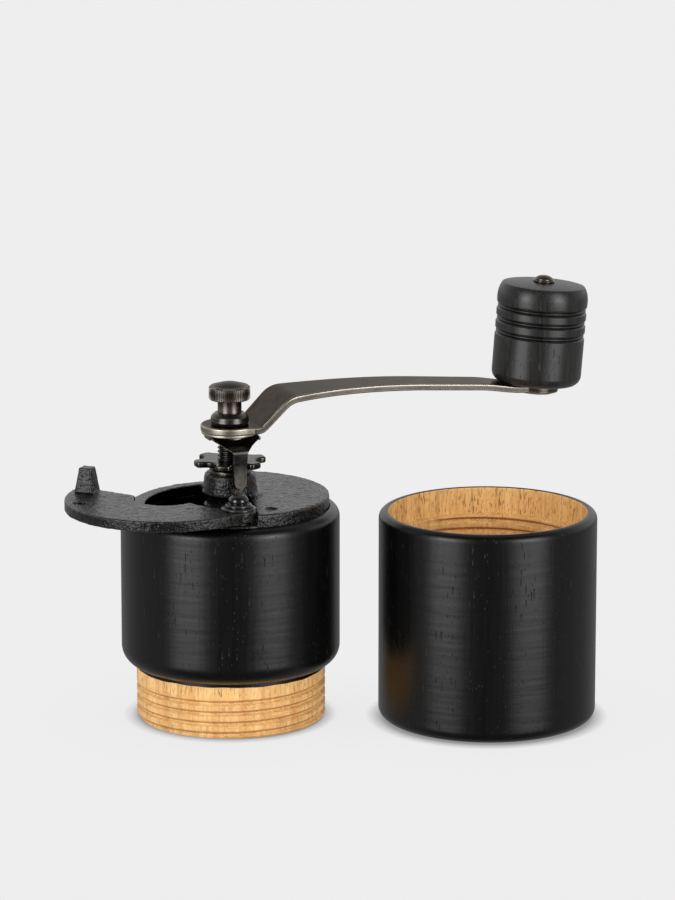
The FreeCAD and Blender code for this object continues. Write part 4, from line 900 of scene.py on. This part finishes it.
knob_prof += rounded([(3.4, 33.45), (2.6, 33.45, 0.2), (2.6, 30.0)], closed=False)[1:]
# the top end grain takes the darker lacquer; in the grooves it is painted shade
new_piece("knob_wood", lathe("knob_wood", knob_prof, 192, wear=0.5, zone=lambda r, z: int(z > 32.6 or (r < 14.18 and 15.0 < z < 27.0))), ["crank_knob"], [KNOB_BLACK, KNOB_END_AND_GROOVE_SHADE], matrix=KNOB)
pin_prof = (
    rounded([(0, -2.9), (5.6, -2.8, 0.6), (6.3, -2.45, 0.2), (6.3, -2.2, 0.05), (2.5, -2.2), (2.5, 34.15)], closed=False)
    + rounded([(2.75, 34.15), (2.9, 34.15, 0.06), (2.9, 34.5, 0.15), (2.6, 34.85)], closed=False)
    + [(2.2, 35.13), (1.7, 35.36), (1.1, 35.52), (0.55, 35.59), (0, 35.6)]
)
new_piece("knob_rivet", lathe("knob_rivet", pin_prof, 96, closed=False, zone=lambda r, z: int(z < -2.0)), ["knob_pin"], [PIN, RING], matrix=KNOB)
new_piece("knob_ring_low", lathe("knob_ring_low", rounded([(2.55, 0.02, 0.05), (5.0, 0.02, 0.08), (5.0, 0.25, 0.08), (2.55, 0.25, 0.05)]), 72), ["knob_low_washer"], [STEEL], matrix=KNOB)
new_piece("knob_ring_top", lathe("knob_ring_top", rounded([(2.55, 33.5, 0.08), (3.45, 33.5, 0.1), (3.45, 34.15, 0.3), (2.55, 34.15, 0.08)]), 96), ["knob_top_washer"], [CAP], matrix=KNOB)

# ------------------------------------------------------------------------------------------ pieces carried over as they are
KEPT = {
    "plate_screw_1": DARK, "plate_screw_2": DARK, "flap_pivot": PAINTED_SHADE_STEEL, "shaft_bush": BRASS, "lower_bush": BRASS, "burr_carrier": CAST,
    "outer_burr": IRON, "inner_burr": IRON, "carrier_screw_1": PLAIN, "carrier_screw_2": PLAIN, "carrier_screw_3": PLAIN, "burr_washer": PLAIN,
    "burr_nut": PLAIN, "retaining_ring": PLAIN, "spring_seat": PLAIN,
}
for name, look in KEPT.items():
    data = NODES[name].data
    data.materials.clear()
    data.materials.append(look)

# ------------------------------------------------------------------------------------------ spring that sits squeezed between star nut and spindle, copied from its node as it stands
coil_mesh = NODES["thrust_spring"].data.copy()
coil_mesh.name = "mill_spring"
coil_mesh.materials.clear()
coil_mesh.materials.append(PLAIN)
coil = bpy.data.objects.new("mill_spring", coil_mesh)
bpy.context.scene.collection.objects.link(coil)
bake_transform(coil)
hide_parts("thrust_spring")

# ------------------------------------------------------------------------------------------ stage
BACK = 0.855


def stage_floor():
    """Plain pale glowing floor with a painted shadow close to where something stands on it."""
    me = bpy.data.meshes.new("floor")
    s = 8.0
    me.from_pydata([(-s, -s, 0), (s, -s, 0), (s, s, 0), (-s, s, 0)], [], [[0, 1, 2, 3]])
    ob = bpy.data.objects.new("floor", me)
    bpy.context.scene.collection.objects.link(ob)
    ob.location.z = -0.00005
    mat = bpy.data.materials.new("pale_floor_painted_shadow")
    mat.use_nodes = True
    t = mat.node_tree
    t.nodes.clear()
    new, link = t.nodes.new, t.links.new
    out, emi, see = new("ShaderNodeOutputMaterial"), new("ShaderNodeEmission"), new("ShaderNodeBsdfTransparent")
    mix, geo = new("ShaderNodeMixShader"), new("ShaderNodeNewGeometry")
    # painted shadow: near and wide occlusion dims the floor's glow around the pieces
    near, wide = new("ShaderNodeAmbientOcclusion"), new("ShaderNodeAmbientOcclusion")
    near.inputs["Distance"].default_value, near.samples = 0.005, 12
    wide.inputs["Distance"].default_value, wide.samples = 0.035, 12
    s1, s2, mul = new("ShaderNodeMapRange"), new("ShaderNodeMapRange"), new("ShaderNodeMath")
    for n, src, v in ((s1, near, (0.3, 1.0, 0.36, 1.0)), (s2, wide, (0.0, 1.0, 0.93, 1.0))):
        link(src.outputs["AO"], n.inputs[0])
        for i, x in enumerate(v):
            n.inputs[i + 1].default_value = x
    mul.operation = "MULTIPLY"
    link(s1.outputs[0], mul.inputs[0])
    link(s2.outputs[0], mul.inputs[1])
    link(mul.outputs[0], emi.inputs["Strength"])
    emi.inputs["Color"].default_value = (BACK, BACK, BACK, 1)
    link(geo.outputs["Backfacing"], mix.inputs[0])
    link(emi.outputs[0], mix.inputs[1])
    link(see.outputs[0], mix.inputs[2])
    link(mix.outputs[0], out.inputs[0])
    me.materials.append(mat)
    ob.visible_glossy = False
    ob.visible_shadow = False
    return ob


def softbox(name, az, dist, low, high, width, radiance):
    """Upright soft box at an azimuth from the camera side, facing the object."""
    light = bpy.data.lights.new(name, "AREA")
    light.shape, light.size, light.size_y = "RECTANGLE", width, high - low
    light.energy = radiance * math.pi * width * (high - low)
    ob = bpy.data.objects.new(name, light)
    a = math.radians(az)
    ob.location = (0.04 + dist * math.sin(a), -dist * math.cos(a), (low + high) / 2)
    ob.rotation_euler = (math.pi / 2, 0, a)
    ob.visible_camera = False
    bpy.context.scene.collection.objects.link(ob)


def studio_world():
    """Even surround; mirror-like reflections see it darker in front than at the sides and back."""
    w = bpy.data.worlds.new("studio")
    bpy.context.scene.world = w
    w.use_nodes = True
    t = w.node_tree
    t.nodes.clear()
    new, link = t.nodes.new, t.links.new
    out, tc, path = new("ShaderNodeOutputWorld"), new("ShaderNodeTexCoord"), new("ShaderNodeLightPath")
    flat, dot, sep = new("ShaderNodeVectorMath"), new("ShaderNodeVectorMath"), new("ShaderNodeSeparateXYZ")
    link(tc.outputs["Generated"], sep.inputs[0])
    flat.operation, dot.operation = "NORMALIZE", "DOT_PRODUCT"
    keep = new("ShaderNodeVectorMath")
    keep.operation = "MULTIPLY"
    keep.inputs[1].default_value = (1, 1, 0)
    link(tc.outputs["Generated"], keep.inputs[0])
    link(keep.outputs[0], flat.inputs[0])
    link(flat.outputs[0], dot.inputs[0])
    dot.inputs[1].default_value = (0, -1, 0)

    def span(v, a, b, c, d):
        n = new("ShaderNodeMapRange")
        n.interpolation_type = "SMOOTHSTEP"
        link(v, n.inputs[0])
        for i, x in enumerate((a, b, c, d)):
            n.inputs[i + 1].default_value = x
        return n.outputs[0]

    def math2(op, a, b):
        n = new("ShaderNodeMath")
        n.operation = op
        for i, x in enumerate((a, b)):
            if isinstance(x, bpy.types.NodeSocket):
                link(x, n.inputs[i])
            else:
                n.inputs[i].default_value = x
        return n.outputs[0]

    low = math2("ADD", span(dot.outputs["Value"], 0.05, 0.42, 0.31, 0.12), span(dot.outputs["Value"], -0.95, -0.4, 0.07, 0.0))
    high = span(dot.outputs["Value"], -0.6, 0.3, 0.93, 0.14)
    rise = span(sep.outputs["Z"], -0.10, 0.10, 0.0, 1.0)
    shine = math2("ADD", low, math2("MULTIPLY", rise, math2("SUBTRACT", high, low)))
    shine = math2("MULTIPLY", shine, span(sep.outputs["Z"], 0.40, 0.80, 1.0, 0.45))
    fill = span(sep.outputs["Z"], -0.2, 0.9, 0.45, 0.85)
    total = math2("ADD", math2("MULTIPLY", shine, path.outputs["Is Glossy Ray"]),
                  math2("MULTIPLY", fill, math2("SUBTRACT", 1.0, path.outputs["Is Glossy Ray"])))
    bg, cam = new("ShaderNodeBackground"), new("ShaderNodeBackground")
    link(total, bg.inputs["Strength"])
    cam.inputs["Color"].default_value = (BACK, BACK, BACK, 1)
    mix = new("ShaderNodeMixShader")
    link(path.outputs["Is Camera Ray"], mix.inputs[0])
    link(bg.outputs[0], mix.inputs[1])
    link(cam.outputs[0], mix.inputs[2])
    link(mix.outputs[0], out.inputs["Surface"])
    w.cycles.sampling_method = "NONE"


softbox("key_left", -44.5, 1.20, -0.30, 1.10, 0.71, 2.75)
softbox("key_right", 44.5, 1.20, -0.30, 1.10, 0.71, 2.55)
softbox("core_left", -44.5, 1.17, 0.27, 0.53, 0.26, 6.0)
softbox("core_right", 44.5, 1.17, 0.27, 0.53, 0.26, 6.0)
stage_floor()
studio_world()
cam = bpy.data.objects.new("camera", bpy.data.cameras.new("camera"))
bpy.context.scene.collection.objects.link(cam)
cam.data.sensor_width = 36.0
cam.data.lens = 188.0
cam.location = (0.034271, -1.45703, 0.42502)
cam.rotation_euler = (math.pi / 2 - 0.228, 0, 0)
cam.data.clip_start, cam.data.clip_end = 0.05, 50.0
bpy.context.scene.camera = cam
bpy.context.scene.view_settings.view_transform = "Standard"
bpy.context.scene.view_settings.look = "None"
